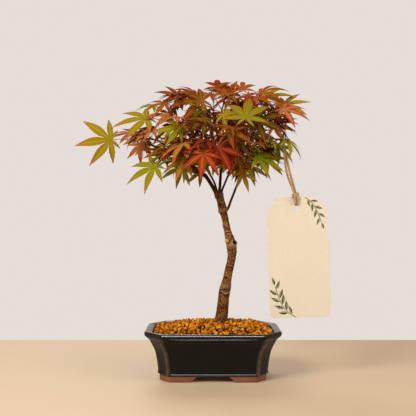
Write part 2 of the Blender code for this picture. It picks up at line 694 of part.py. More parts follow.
def twine_line():
    """The loop's middle line: over the twig, down either side, and through the tag's hole."""
    spread = TWINE_RADIUS + TWIG_RADIUS + TWINE_SLACK
    down = smooth_line((TWINE_TOP, TWINE_BEND, TWINE_KNOT, TAG_HOLE), 6)
    gaps = smooth_line(((0, spread, 0), (1.7, 0.4, 0), (0.9, 1.5, 0), (0, 1.9, 0)), 6)
    front = [p - g for p, g in zip(down, gaps)]
    back = [p + g for p, g in zip(down, gaps)]
    over = [down[0] + Vector((0, spread * math.cos(a), spread * math.sin(a)))
            for a in (math.radians(d) for d in (45, 90, 135))]
    under = [down[-1] + Vector((0, 1.9 * math.cos(a), -1.9 * math.sin(a)))
             for a in (math.radians(d) for d in (135, 90, 45))]
    return front + under + back[::-1] + over


def make_tag():
    """The card: clipped top corners, rounded bottom corners and a hole for the twine."""
    half = TAG_WIDTH / 2
    outline = [(half, TAG_TOP - TAG_CLIP[1]), (half - TAG_CLIP[0], TAG_TOP),
               (-half + TAG_CLIP[0], TAG_TOP), (-half, TAG_TOP - TAG_CLIP[1])]
    for side, first in ((-1, 180), (1, 270)):
        for step in range(4):
            angle = math.radians(first + 30 * step)
            outline.append((side * (half - TAG_CORNER) + TAG_CORNER * math.cos(angle),
                            TAG_BOTTOM + TAG_CORNER + TAG_CORNER * math.sin(angle)))
    rings = [[(u, y, v) for u, v in outline] for y in (TAG_THICK / 2, -TAG_THICK / 2)]
    card = finish("card", (0.8, 0.67, 0.46), 0.8)
    tag = add_object("hang_tag", *loft(rings), card, smooth=False)
    punch = tube(((0, -3, 0), (0, 3, 0)), (TAG_HOLE_RADIUS,) * 2, 16)
    cut_or_join(tag, add_object("punch", *punch), "DIFFERENCE")
    turn = Matrix.Rotation(-TAG_TILT, 4, "Y")
    tag.data.transform(Matrix.Translation(Vector(TAG_HOLE) * MM) @ turn)


def make_foliage(thicket, dice):
    """All sprays: stems and leading leaves first, then leaves by rule in turn."""
    sprays = [Spray(row, thicket, dice) for row in SPRAYS]
    sprays = [spray for spray in sprays if spray.grow_stem()]
    for spray in sprays:
        for lead in spray.leads:
            spray.grow_lead(*lead)
    for turn in range(FILL_ROUNDS):
        for spray in sprays:
            if spray.fill > 0 and spray.grow_by_rule():
                spray.fill -= 1
    return sprays


def centre_whole():
    """Move everything so that the origin is under the middle of the whole plant's box."""
    corners = [made.matrix_world @ v.co for made in bpy.data.objects for v in made.data.vertices]
    low = [min(c[k] for c in corners) for k in range(3)]
    high = [max(c[k] for c in corners) for k in range(3)]
    shift = Vector((-(low[0] + high[0]) / 2, -(low[1] + high[1]) / 2, -low[2]))
    for made in bpy.data.objects:
        made.data.transform(Matrix.Translation(shift))


def main():
    for old in list(bpy.data.objects):
        bpy.data.objects.remove(old)
    dice = random.Random(SEED)
    bark = finish("bark", (0.16, 0.085, 0.042), 0.85)
    twig_bark = finish("young_bark", (0.07, 0.018, 0.014), 0.6)
    make_pot()
    make_feet()
    make_gravel(dice)
    make_trunk(bark, dice)
    thicket = Thicket()
    for name in BOUGHS:
        verts, faces = bough_tube(name)
        add_object(name, verts, faces, bark if name == "bough_left" else twig_bark)
        thicket.add(name, "wood", verts, faces)
    loop = twine_line()
    verts, faces = tube(loop, (TWINE_RADIUS,) * len(loop), 6, closed=True)
    add_object("twine_loop", verts, faces, finish("jute", (0.48, 0.27, 0.11), 0.95))
    thicket.add("twine_loop", "wood", verts, faces)
    make_tag()
    for spray in make_foliage(thicket, random.Random(SEED)):
        join_spray(spray, finish("leaves_" + spray.tint, TINTS[spray.tint], 0.5))
    centre_whole()


main()
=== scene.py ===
"""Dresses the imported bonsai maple: glazed pot, clay feet, gravel, trunk, twine, card and leaves.

Lengths are millimetres measured from the middle of the pot, and place() turns them into the
frame's metres. +X is to the right, +Y to the back and +Z up.
"""
import json
import math
import random

import bmesh
import bpy
import numpy as np
from mathutils import Matrix, Vector, noise
from mathutils.bvhtree import BVHTree

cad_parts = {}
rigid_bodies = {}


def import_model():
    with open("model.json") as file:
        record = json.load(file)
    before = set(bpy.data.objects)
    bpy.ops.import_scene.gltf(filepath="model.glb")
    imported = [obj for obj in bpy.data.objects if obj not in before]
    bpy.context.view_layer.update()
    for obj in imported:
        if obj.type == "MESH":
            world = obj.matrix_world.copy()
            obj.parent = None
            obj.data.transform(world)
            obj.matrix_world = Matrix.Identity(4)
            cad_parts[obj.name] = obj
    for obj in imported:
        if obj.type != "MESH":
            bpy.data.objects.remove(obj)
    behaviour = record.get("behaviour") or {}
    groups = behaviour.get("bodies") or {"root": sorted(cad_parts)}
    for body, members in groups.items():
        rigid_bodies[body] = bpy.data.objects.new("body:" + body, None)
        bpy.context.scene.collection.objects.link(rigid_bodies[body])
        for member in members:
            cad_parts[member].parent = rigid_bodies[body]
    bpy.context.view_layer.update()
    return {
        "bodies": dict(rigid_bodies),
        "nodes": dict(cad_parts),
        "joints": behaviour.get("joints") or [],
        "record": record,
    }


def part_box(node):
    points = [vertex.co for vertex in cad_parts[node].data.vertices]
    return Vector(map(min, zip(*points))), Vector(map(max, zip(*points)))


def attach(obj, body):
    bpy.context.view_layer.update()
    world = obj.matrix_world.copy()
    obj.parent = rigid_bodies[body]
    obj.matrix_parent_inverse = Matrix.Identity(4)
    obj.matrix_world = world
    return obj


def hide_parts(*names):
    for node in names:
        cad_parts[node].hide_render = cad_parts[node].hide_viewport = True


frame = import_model()

# ---------------------------------------------------------------------------------------------
# Camera, light and floor. A pale table before a pale plain wall, lit by a large soft window at
# the front left, a weaker one at the right and one behind. The room in front is dimmer, which
# the glaze shows. Colours are shown as they are, without a film curve.
# ---------------------------------------------------------------------------------------------
MM = 0.001
EYE = (-5.5, -790.0, 187.5)
LENS = 61.04
SENSOR = 36.0
DAYLIGHT = (0.93, 0.97, 1.0)
WINDOWS = (                  # name, place, width and height, watts
    ("window_left", (-700, -800, 850), (560, 560), 14.6),
    ("window_right", (900, -450, 450), (560, 560), 5.2),
    ("window_back", (-300, 900, 800), (700, 700), 5.5),
)
WINDOW_AIM = (0, 0, 150)
ROOM_WALL = 0.97             # brightness of the pale wall behind the plant
ROOM_FRONT = 0.32            # and of the room in front of it
ROOM_TURN = (-0.25, 0.35)    # how far a direction points back where one goes over to the other
WALL_TOP = (0.38, 0.58)      # how far it points up where the wall gets dim
WALL_TOP_DIM = 0.3
CEILING = (0.45, 0.95)       # and where the ceiling gets bright
CEILING_BRIGHT = 0.45
TABLE_SIDE = 1400.0
TABLE_BACK = 212.0
TABLE_FRONT = -900.0

pot_low, pot_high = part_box("pot")
POT_MIDDLE = Vector(((pot_low[0] + pot_high[0]) / 2, (pot_low[1] + pot_high[1]) / 2, 0.0))


def place(point):
    """A point in millimetres from the pot's middle as a place in the frame, in metres."""
    return Vector(point) * MM + POT_MIDDLE


def linear(code):
    """An sRGB hex colour as linear RGBA."""
    values = [int(code[i:i + 2], 16) / 255 for i in (1, 3, 5)]
    return [v / 12.92 if v <= 0.04045 else ((v + 0.055) / 1.055) ** 2.4 for v in values] + [1.0]


def feed(made, links):
    """Gives a node's inputs a number, a hex colour, a socket or another node's first output."""
    for key, value in links.items():
        if isinstance(value, bpy.types.Node):
            value = next(out for out in value.outputs if out.enabled)
        if isinstance(value, bpy.types.NodeSocket):
            made.id_data.links.new(value, made.inputs[key])
        else:
            made.inputs[key].default_value = linear(value) if isinstance(value, str) else value


def node(tree, kind, links=None, stops=(), **settings):
    """Adds a shader node with its settings and links; stops are a ramp's places and colours."""
    made = tree.nodes.new("ShaderNode" + kind)
    for key, value in settings.items():
        setattr(made, key, value)
    for k, (spot, code) in enumerate(stops):
        made.color_ramp.elements[k].position = spot
        made.color_ramp.elements[k].color = linear(code)
    feed(made, links or {})
    return made


def new_material(name, colour="#808080", **values):
    """A Principled material with one plain colour; values are the shader's own sockets."""
    material = bpy.data.materials.new(name)
    material.use_nodes = True
    shader = material.node_tree.nodes["Principled BSDF"]
    feed(shader, {"Base Color": colour})
    feed(shader, {key.replace("_", " "): value for key, value in values.items()})
    return material, material.node_tree, shader


def add_lamp(name, spot, sides, watts, colour, aim):
    """A soft oblong lamp at a place in millimetres, turned to another."""
    lamp = bpy.data.lights.new(name, "AREA")
    lamp.shape = "RECTANGLE"
    lamp.size = sides[0] * MM
    lamp.size_y = sides[1] * MM
    lamp.energy = watts
    lamp.color = colour
    made = bpy.data.objects.new(name, lamp)
    made.location = place(spot)
    made.rotation_euler = (place(aim) - made.location).to_track_quat("-Z", "Y").to_euler()
    bpy.context.scene.collection.objects.link(made)
    return made


bpy.context.scene.view_settings.view_transform = "Standard"
eye = bpy.data.objects.new("eye", bpy.data.cameras.new("eye"))
eye.data.lens = LENS
eye.data.sensor_width = SENSOR
eye.location = place(EYE)
eye.rotation_euler = (math.pi / 2, 0.0, 0.0)
bpy.context.scene.collection.objects.link(eye)
bpy.context.scene.camera = eye
for window in WINDOWS:
    add_lamp(*window, DAYLIGHT, WINDOW_AIM)

# The room is a plain brightness for each direction: the wall, dimmer to its top, a ceiling over
# it and a dim front.
room = bpy.data.worlds.new("room")
bpy.context.scene.world = room
room.use_nodes = True
tree = room.node_tree
look = node(tree, "SeparateXYZ", {"Vector": node(tree, "TexCoord").outputs["Generated"]})
depth = node(tree, "MapRange", {
    "Value": look.outputs["Y"], "From Min": ROOM_TURN[0], "From Max": ROOM_TURN[1],
    "To Min": ROOM_FRONT, "To Max": ROOM_WALL})
ceiling = node(tree, "MapRange", {
    "Value": look.outputs["Z"], "From Min": CEILING[0], "From Max": CEILING[1],
    "To Min": 0.0, "To Max": CEILING_BRIGHT})
wall_top = node(tree, "MapRange", {
    "Value": look.outputs["Z"], "From Min": WALL_TOP[0], "From Max": WALL_TOP[1],
    "To Min": 1.0, "To Max": WALL_TOP_DIM})
wall = node(tree, "Math", {0: depth, 1: wall_top}, operation="MULTIPLY")
bright = node(tree, "Math", {0: wall, 1: ceiling}, operation="MAXIMUM")
feed(tree.nodes["Background"], {"Color": "#E9E0DB", "Strength": bright})

# Pale lacquered wood, left plain. The plant only stands on it.
table_mesh = bpy.data.meshes.new("table")
table_mesh.from_pydata([place((x, y, 0)) for x, y in (
    (-TABLE_SIDE, TABLE_FRONT), (TABLE_SIDE, TABLE_FRONT),
    (TABLE_SIDE, TABLE_BACK), (-TABLE_SIDE, TABLE_BACK))], [], [(0, 1, 2, 3)])
table_mesh.materials.append(new_material("pale_table", "#D4B48E", Roughness=0.6)[0])
table = bpy.data.objects.new("table", table_mesh)
bpy.context.scene.collection.objects.link(table)

# ---------------------------------------------------------------------------------------------
# Pot. Slip-cast stoneware, a clipped rectangle that flares like a bell, with a rolled lip, wide
# ears at the corners and a rib down each edge. Dipped in an iron-black glaze that breaks to
# brown where it runs thin over the ribs, and thins out to amber above the bare foot.
# ---------------------------------------------------------------------------------------------
POT_HALF = (75.0, 50.0)
POT_WALL = (         # height and how far the wall stands in from the lip's outline, foot to lip
    (6.5, 17.6), (6.5, 16.6), (7.1, 15.7), (8.2, 15.3), (9.6, 15.7), (13.0, 15.3), (21.0, 14.4),
    (32.0, 12.4), (39.0, 9.6), (43.5, 7.2), (46.2, 4.3), (48.0, 1.7), (49.6, 0.5), (51.5, 0.0),
    (53.0, 0.5), (53.9, 1.9), (54.0, 3.6), (53.6, 5.6), (52.6, 7.6), (50.6, 8.9), (40.0, 13.6),
    (16.0, 19.6), (14.0, 21.0))
LIP_CLIP = (20.5, 24.0)
WALL_CLIP = (12.6, 14.8)
FOOT_CLIP = (10.8, 12.7)
LIP_FLARE = 7.6
FOOT_INSET = 16.8
CORNER_RADIUS = 3.0
RIB_HEIGHT = 0.9
RIB_STARTS = (6.8, 1.5)      # height where the ribs start, and over how much they rise
RIB_ENDS = (46.5, 5.0)       # and where they end under the lip
RIB_TOE = (9.3, 2.2, 0.8)    # they stand out more over the foot: height, half width, share
GROOVE = (49.3, 0.8, 1.0)    # under the lip's roll on the long sides: height, half width, depth
FILLET = (47.4, 0.7, -0.8)   # the small raised line below it
GROOVE_FADE = 9              # both fade out over a ninth of the side
RIM_THIN = (54.0, 1.6, 0.12)     # glaze a little thin on the rim: height, half width, share
RIM_ROWS = 3                 # rows of points past the highest one that it still reaches
GLAZE_END = (6.6, 7.8)       # the glaze thins out between these heights
BARE_BELOW = 6.75
PROFILE_STEPS = 4
SIDE_PARTS = (8, 4, 18, 4)       # spans along an end, a corner cut, a long side, a corner cut
CORNER_PARTS = 6
DRAIN_RADIUS = 5.0
DRAIN_PLACES = (-26.0, 26.0)
DRAIN_PARTS = 24


def smooth_line(points, steps):
    """A Catmull-Rom line through points, with steps places for each span."""
    pts = [Vector(p) for p in points]
    pts = [pts[0] * 2 - pts[1]] + pts + [pts[-1] * 2 - pts[-2]]
    line = []
    for a, b, c, d in zip(pts, pts[1:], pts[2:], pts[3:]):
        for step in range(steps):
            t = step / steps
            line.append(0.5 * (2 * b + (c - a) * t + (2 * a - 5 * b + 4 * c - d) * t * t
                               + (3 * b - 3 * c + d - a) * t * t * t))
    return line + [pts[-2]]


def band_faces(rows, count):
    """Four-sided faces between rows of count points, each row a closed ring."""
    faces = []
    for row in range(rows - 1):
        low, high = row * count, (row + 1) * count
        for i in range(count):
            j = (i + 1) % count
            faces.append((low + i, low + j, high + j, high + i))
    return faces


def add_piece(name, verts, faces, materials, slot_name, sharp=50, indices=None):
    """A piece from points in millimetres that rides on the plant's one body."""
    mesh = bpy.data.meshes.new(name)
    points = np.asarray(verts, dtype=float) * MM + np.array(POT_MIDDLE)
    mesh.from_pydata(points.tolist(), [], faces)
    mesh.shade_smooth()
    mesh.set_sharp_from_angle(angle=math.radians(sharp))
    for material in materials:
        mesh.materials.append(material)
    if indices is not None:
        mesh.polygons.foreach_set("material_index", indices)
    made = bpy.data.objects.new(name, mesh)
    bpy.context.scene.collection.objects.link(made)
    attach(made, "root")
    return made


def set_mark(piece, name, values):
    """Stores one number for each point of a piece, for its material to read."""
    mark = piece.data.attributes.new(name, "FLOAT", "POINT")
    mark.data.foreach_set("value", np.asarray(values, dtype=np.float32))


def pot_corners(inset):
    """The eight corners of the pot's outline, anticlockwise from the front of the right end."""
    x, y = POT_HALF[0] - inset, POT_HALF[1] - inset
    if inset < LIP_FLARE:
        share, outer, inner = max(inset, 0.0) / LIP_FLARE, LIP_CLIP, WALL_CLIP
    else:
        share = (inset - LIP_FLARE) / (FOOT_INSET - LIP_FLARE)
        outer, inner = WALL_CLIP, FOOT_CLIP
    clip_x, clip_y = [a + (b - a) * share for a, b in zip(outer, inner)]
    quarter = [(x, y - clip_y), (x - clip_x, y)]
    plan = [(x, -(y - clip_y))] + quarter + [(-a, b) for a, b in reversed(quarter)]
    plan += [(-a, -b) for a, b in quarter] + [(x - clip_x, -y)]
    return [Vector(p) for p in plan]


def hump(value, middle, half):
    """A smooth bump: 1 at its middle and 0 from half away."""
    return max(0.0, 1.0 - ((value - middle) / half) ** 2) ** 2


def pot_ring(z, inset, outside):
    """Points round the pot at one height, and how thin the glaze runs at each."""
    corners = pot_corners(inset)
    ring, thin = [], []
    rise = min(1.0, max(0.0, (RIB_ENDS[0] - z) / RIB_ENDS[1]))
    rise *= min(1.0, max(0.0, (z - RIB_STARTS[0]) / RIB_STARTS[1]))
    rib = RIB_HEIGHT * rise * (1 + RIB_TOE[2] * hump(z, *RIB_TOE[:2])) if outside else 0.0
    for i, corner in enumerate(corners):
        back = (corners[i - 1] - corner).normalized()
        ahead = (corners[(i + 1) % 8] - corner).normalized()
        out = -(back + ahead).normalized()
        for k in range(CORNER_PARTS + 1):
            t = k / CORNER_PARTS
            spot = corner + back * CORNER_RADIUS * (1 - t) ** 2 + ahead * CORNER_RADIUS * t ** 2
            bump = math.sin(math.pi * t) ** 2
            ring.append(spot + out * rib * bump)
            thin.append(math.sin(math.pi * t) * rise if outside else 0.0)
        parts = SIDE_PARTS[i % 4]
        start = corner + ahead * CORNER_RADIUS
        end = corners[(i + 1) % 8] - ahead * CORNER_RADIUS
        side_out = Vector((ahead.y, -ahead.x))
        for k in range(1, parts):
            t = k / parts
            step = 0.0
            if outside and i % 4 == 2:
                fade = min(1.0, t * GROOVE_FADE, (1 - t) * GROOVE_FADE)
                step = fade * sum(cut * hump(z, mid, half) for mid, half, cut in (GROOVE, FILLET))
            ring.append(start.lerp(end, t) - side_out * step)
            thin.append(max(0.0, -step))
    return [(p.x, p.y, z) for p in ring], thin


profile = smooth_line([(z, inset, 0.0) for z, inset in POT_WALL], PROFILE_STEPS)
highest = max(range(len(profile)), key=lambda n: profile[n].x)
rings = []
thins = []
for n, spot in enumerate(profile):
    ring, thin = pot_ring(spot.x, spot.y, n <= highest)
    rings.append(ring)
    rim = RIM_THIN[2] * hump(spot.x, *RIM_THIN[:2]) * (n <= highest + RIM_ROWS)
    thins += [t + rim for t in thin]
count = len(rings[0])
verts = [p for ring in rings for p in ring]
faces = band_faces(len(rings), count)
circles = []
for z in (rings[0][0][2], rings[-1][0][2]):
    for x in DRAIN_PLACES:
        circles.append(list(range(len(verts), len(verts) + DRAIN_PARTS)))
        angles = [math.tau * k / DRAIN_PARTS for k in range(DRAIN_PARTS)]
        verts += [(x + DRAIN_RADIUS * math.cos(a), DRAIN_RADIUS * math.sin(a), z) for a in angles]
thins += [0.0] * (4 * DRAIN_PARTS)
for low, high in zip(circles[:2], circles[2:]):
    for k in range(DRAIN_PARTS):
        j = (k + 1) % DRAIN_PARTS
        faces.append((low[j], low[k], high[k], high[j]))
shell = bmesh.new()          # it closes the foot and the floor round their drain holes
for v in verts:
    shell.verts.new(v)
shell.verts.ensure_lookup_table()
for face in faces:
    shell.faces.new([shell.verts[k] for k in face])
for loops in ([list(range(count))] + circles[:2],
              [list(range(len(rings) * count - count, len(rings) * count))] + circles[2:]):
    edges = []
    for loop in loops:
        for a, b in zip(loop, loop[1:] + loop[:1]):
            edges.append(shell.edges.get((shell.verts[a], shell.verts[b])))
    bmesh.ops.triangle_fill(shell, edges=edges, use_beauty=True)
bmesh.ops.recalc_face_normals(shell, faces=shell.faces)
verts = [tuple(v.co) for v in shell.verts]
faces = [[v.index for v in f.verts] for f in shell.faces]
bare = [1 if f.calc_center_median().z < BARE_BELOW else 0 for f in shell.faces]
shell.free()


def spaced(size):
    """The scale of a pattern whose marks are this many millimetres apart."""
    return 1 / (size * MM)


# Iron-black stoneware glaze, fired: deep and glassy, with faint clouds 17 mm across and slow
# ripples of 22 mm. Where it is thin it breaks to brown in runs nearly 4 mm apart.
glaze, tree, shader = new_material("iron_black_glaze", Roughness=0.09, IOR=1.5,
                                   Specular_IOR_Level=0.22)
where = node(tree, "TexCoord").outputs["Object"]
cloud = node(tree, "TexNoise", {"Vector": where, "Scale": spaced(16.7), "Detail": 5.0,
                                "Roughness": 0.6})
streak = node(tree, "TexNoise", {"Vector": where, "Scale": spaced(3.85), "Detail": 3.0})
thin = node(tree, "Attribute", attribute_name="thin").outputs["Fac"]
broken = node(tree, "Math", {0: streak, 1: 0.9}, operation="MULTIPLY")
amount = node(tree, "Math", {0: thin, 1: broken}, operation="MULTIPLY", use_clamp=True)
deep = node(tree, "Mix", {"Factor": cloud, "A": "#060606", "B": "#12110F"}, data_type="RGBA")
body = node(tree, "Mix", {"Factor": amount, "A": deep, "B": "#6E5A44"}, data_type="RGBA")
height = node(tree, "SeparateXYZ", {"Vector": where}).outputs["Z"]
ending = node(tree, "MapRange", {"Value": height, "From Min": GLAZE_END[0] * MM,
                                 "From Max": GLAZE_END[1] * MM, "To Min": 1.0, "To Max": 0.0})
edge = node(tree, "Math", {0: ending, 1: streak}, operation="MULTIPLY")
skin = node(tree, "Mix", {"Factor": edge, "A": body, "B": "#7A6A3A"}, data_type="RGBA")
ripple = node(tree, "TexNoise", {"Vector": where, "Scale": spaced(22.2), "Detail": 1.0})
uneven = node(tree, "Bump", {"Height": ripple, "Strength": 0.25, "Distance": 1.2 * MM})
rough = node(tree, "MapRange", {"Value": cloud, "To Min": 0.06, "To Max": 0.16})
feed(shader, {"Base Color": skin, "Normal": uneven, "Roughness": rough})

# Terracotta, fired and left bare: dull, paler in patches of 14 mm where it is rubbed, with grit
# about 1 mm apart, drawn coarser than real grit so that it shows.
clay, tree, shader = new_material("bare_terracotta", Roughness=0.86, IOR=1.5)
where = node(tree, "TexCoord").outputs["Object"]
grit = node(tree, "TexNoise", {"Vector": where, "Scale": spaced(1.11), "Detail": 4.0,
                               "Roughness": 0.7})
patch = node(tree, "TexNoise", {"Vector": where, "Scale": spaced(14.3), "Detail": 3.0})
tone = node(tree, "ValToRGB", {"Fac": patch}, ((0.3, "#7C4628"), (0.75, "#AA6C42")))
speck = node(tree, "Mix", {"Factor": grit, "A": "#6E3A28", "B": tone}, data_type="RGBA")
tooth = node(tree, "Bump", {"Height": grit, "Strength": 0.5, "Distance": 0.4 * MM})
feed(shader, {"Base Color": speck, "Normal": tooth})

pot = add_piece("glazed_pot", verts, faces, (glaze, clay), "pot_glaze", 40, bare)
set_mark(pot, "thin", thins)
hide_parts("pot")

# Narrow soft lamps that the glaze alone reflects: the windows' glints on its roll and its foot.
GLINT_COLOUR = (0.86, 0.93, 1.0)
GLINT_AIM = (0, 0, 50)
GLINTS = (                   # name, place, width and height, watts
    ("glint_high", (-60, -640, 700), (1500, 200), 66.0),
    ("glint_front", (-60, -660, 330), (1500, 70), 12.0),
    ("glint_back", (0, 820, 900), (1500, 120), 4.0),
)
glazed = bpy.data.collections.new("glazed")
glazed.objects.link(pot)
for row in GLINTS:
    glint = add_lamp(*row, GLINT_COLOUR, GLINT_AIM)
    glint.visible_diffuse = False
    glint.light_linking.receiver_collection = glazed

# ---------------------------------------------------------------------------------------------
# Feet. Four corner feet of the pot's clay, left bare so that they don't stick in the kiln. Each
# follows the pot's outline and ends in a cove towards the arch in the middle of the side.
# ---------------------------------------------------------------------------------------------
FOOT_WALL = 9.0
FOOT_COVE = ((0.0, 22.7, 10.0), (0.5, 22.4, 9.8), (2.0, 21.7, 9.2), (3.4, 20.6, 8.2),
             (4.6, 19.1, 7.1), (5.5, 17.4, 5.9), (6.2, 16.0, 5.0))   # height, end on X, end on Y
FOOT_TUCK = (1.4, 0.9)       # its lowest 1.4 mm draw in by 0.9 mm
FOOT_ROUND = 0.7
FOOT_SHARP = 35              # degrees between faces from which an edge is rounded


def stacked(rings):
    """Points and faces of a solid from rings of points, one over another, flat at both ends."""
    count = len(rings[0])
    verts = [p for ring in rings for p in ring]
    ends = [tuple(reversed(range(count))), tuple(range(len(verts) - count, len(verts)))]
    return verts, ends + band_faces(len(rings), count)


for name, right, back in (("foot_front_right", 1, -1), ("foot_front_left", -1, -1),
                          ("foot_back_right", 1, 1), ("foot_back_left", -1, 1)):
    rings = []
    for z, end_x, end_y in FOOT_COVE:
        inset = FOOT_INSET + FOOT_TUCK[1] * max(0.0, 1 - z / FOOT_TUCK[0]) ** 2
        x, y = POT_HALF[0] - inset, POT_HALF[1] - inset
        clip_x, clip_y = FOOT_CLIP
        inner_x, inner_y = x - FOOT_WALL, y - FOOT_WALL
        plan = [(x, end_y), (x, y - clip_y), (x - clip_x, y), (end_x, y), (end_x, inner_y),
                (inner_x - clip_x / 2, inner_y), (inner_x, inner_y - clip_y / 2), (inner_x, end_y)]
        ring = [(right * a, back * b, z) for a, b in plan]
        rings.append(ring if right * back > 0 else ring[::-1])
    foot = add_piece(name.replace("foot", "clay_foot"), *stacked(rings), (clay,), "bare_clay",
                     FOOT_SHARP)
    rounding = foot.modifiers.new("Rounded", "BEVEL")
    rounding.width = FOOT_ROUND * MM
    rounding.segments = 3
    rounding.limit_method = "ANGLE"
    rounding.angle_limit = math.radians(FOOT_SHARP)
    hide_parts(name)

# ---------------------------------------------------------------------------------------------
# Gravel. Broken grains of fired clay, 3 to 6 mm, poured to the lip and heaped a little towards the
# trunk over dark damp soil, whose dark tone also paints the shade between the grains. Every grain is
# a lump with a few flat broken faces.
# ---------------------------------------------------------------------------------------------
GRAVEL_EDGE = 51.6
GRAVEL_CREST = 60.0
GRAVEL_HEAP = 1.6
GRAVEL_INSET = 9.05
SOIL_UNDER = 2.2             # how far the soil lies under the bed's surface
SOIL_SIDES = ((16.5, 20.2), (40.0, 14.3), (49.4, 9.5))      # height and inset of its flanks
SOIL_RINGS = (0.985, 0.8, 0.6, 0.4, 0.2)     # rings of its top, as shares of the way outwards
TRUNK_FOOT = Vector((9.0, 0.0))
TRUNK_FOOT_RADIUS = 7.4
GRAIN_RADIUS = (1.7, 3.4)
GRAIN_SMALL = 1.4            # the higher it is, the more of the grains are small
GRAIN_SHAPES = 18
GRAIN_CUTS = 9
GRAIN_CUT_REACH = (0.5, 0.8)     # how far from a grain's middle its flat faces lie
GRAIN_SIDES = (1.12, 0.98, 0.84)
GRAIN_FIELD = (66, 41)       # half the field that grains are dropped on
GRAIN_TRIES = 9000
GRAIN_CELL = 6               # side of the cells that neighbours are looked up in
GRAIN_CLOSE = 0.84           # how close two grains lie, as a share of their radii
GRAIN_SINK = 0.6             # how deep they sit in the bed
GRAIN_LAYER = 2.6            # how high a grain's middle may lie over the bed
EDGE_FROM = 0.72             # share of the way to the wall from which the bed falls off
EDGE_FALL = 1.1
GRAIN_TONES = (              # dark and light side of each tone, and how many are dealt it
    ("honey", "#9A4E00", "#E08A10", 5), ("amber", "#B86A00", "#FAA41C", 3),
    ("rust", "#783A00", "#B05E00", 3), ("sand", "#C88428", "#F4B650", 1))
bed_walls = []
corners = pot_corners(GRAVEL_INSET)
for a, b in zip(corners, corners[1:] + corners[:1]):
    out = Vector(((b - a).y, -(b - a).x)).normalized()
    bed_walls.append((out, out.dot(a)))


def bed_height(x, y):
    """Height of the gravel bed, heaped round the trunk, and the share of the way to the wall."""
    spot = Vector((x, y)) - TRUNK_FOOT
    share = max(out.dot(spot) / (reach - out.dot(TRUNK_FOOT)) for out, reach in bed_walls)
    return GRAVEL_CREST + (GRAVEL_EDGE - GRAVEL_CREST) * share ** GRAVEL_HEAP, share


dice = random.Random(11)
ball = bmesh.new()
bmesh.ops.create_icosphere(ball, subdivisions=2, radius=1.0)
ball_points = np.array([v.co[:] for v in ball.verts])
ball_faces = np.array([[v.index for v in f.verts] for f in ball.faces])
ball.free()
grains = []
for n in range(GRAIN_SHAPES):
    points = ball_points * (1 + 0.06 * np.array([[dice.uniform(-1, 1)] for p in ball_points]))
    for cut in range(GRAIN_CUTS):
        way = Vector([dice.gauss(0, 1) for k in range(3)]).normalized()
        over = np.clip(points @ np.array(way) - dice.uniform(*GRAIN_CUT_REACH), 0, None)
        points = points - over[:, None] * np.array(way)
    grains.append(points * np.array(GRAIN_SIDES))

laid = []
cells = {}
for attempt in range(GRAIN_TRIES):
    x, y = (dice.uniform(-half, half) for half in GRAIN_FIELD)
    radius = GRAIN_RADIUS[0] + (GRAIN_RADIUS[1] - GRAIN_RADIUS[0]) * dice.random() ** GRAIN_SMALL
    if any(out.dot(Vector((x, y))) > reach - radius * 0.9 for out, reach in bed_walls):
        continue
    if (Vector((x, y)) - TRUNK_FOOT).length < TRUNK_FOOT_RADIUS + radius * 0.55:
        continue
    base, share = bed_height(x, y)
    fall = EDGE_FALL * max(0.0, (share - EDGE_FROM) / (1 - EDGE_FROM))
    z = base - GRAIN_SINK + radius * 0.25 - fall
    cell = (int(x // GRAIN_CELL), int(y // GRAIN_CELL))
    for i in range(-1, 2):
        for j in range(-1, 2):
            for ox, oy, oz, oradius in cells.get((cell[0] + i, cell[1] + j), ()):
                apart = (radius + oradius) * GRAIN_CLOSE
                flat = (x - ox) ** 2 + (y - oy) ** 2
                if flat < apart ** 2:
                    z = max(z, oz + math.sqrt(apart ** 2 - flat))
    if z > base + GRAIN_LAYER - 2 * fall:
        continue
    cells.setdefault(cell, []).append((x, y, z, radius))
    laid.append((x, y, z, radius))

verts, faces, tones = [], [], []
shares = [row[3] for row in GRAIN_TONES]
for x, y, z, radius in laid:
    angle = dice.uniform(0, math.tau)
    turn = Matrix.Rotation(angle, 3, Vector([dice.gauss(0, 1) for k in range(3)]))
    points = grains[dice.randrange(GRAIN_SHAPES)] @ np.array(turn).T * radius + np.array((x, y, z))
    faces += (ball_faces + len(verts)).tolist()
    verts += points.tolist()
    tones += dice.choices(range(len(shares)), shares) * len(ball_faces)

# Fired clay grains: porous and dull, honey to rust, each grain a shade of its own. Stains come
# every 2.4 mm, and pores every 0.6 mm, coarser than real pores so that they show.
grain_materials = []
for tone_name, dark, pale, share in GRAIN_TONES:
    made, tree, shader = new_material("fired_clay_grain_" + tone_name, Roughness=0.9, IOR=1.45,
                                      Specular_IOR_Level=0.15)
    where = node(tree, "TexCoord").outputs["Object"]
    stain = node(tree, "TexNoise", {"Vector": where, "Scale": spaced(2.38), "Detail": 4.0,
                                    "Roughness": 0.65})
    tone = node(tree, "ValToRGB", {"Fac": stain}, ((0.36, dark), (0.66, pale)))
    pore = node(tree, "TexNoise", {"Vector": where, "Scale": spaced(0.625), "Detail": 3.0})
    pitted = node(tree, "Bump", {"Height": pore, "Strength": 0.6, "Distance": 0.4 * MM})
    feed(shader, {"Base Color": tone, "Normal": pitted})
    grain_materials.append(made)
gravel = add_piece("gravel_grains", verts, faces, grain_materials, "gravel", 28, tones)
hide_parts("gravel_bed")

# Damp soil and gravel dust under the grains: nearly black brown, in crumbs of 2 mm. Its near-black
# tone also paints the shade in the gaps between the grains.
soil, tree, shader = new_material("damp_soil_and_painted_gap_shade", Roughness=0.95, IOR=1.4)
where = node(tree, "TexCoord").outputs["Object"]
crumb = node(tree, "TexVoronoi", {"Vector": where, "Scale": spaced(2.0)})
tone = node(tree, "Mix", {"Factor": crumb, "A": "#1E0E04", "B": "#4A2A0E"}, data_type="RGBA")
lumpy = node(tree, "Bump", {"Height": crumb, "Strength": 0.7, "Distance": 1.0 * MM})
feed(shader, {"Base Color": tone, "Normal": lumpy})

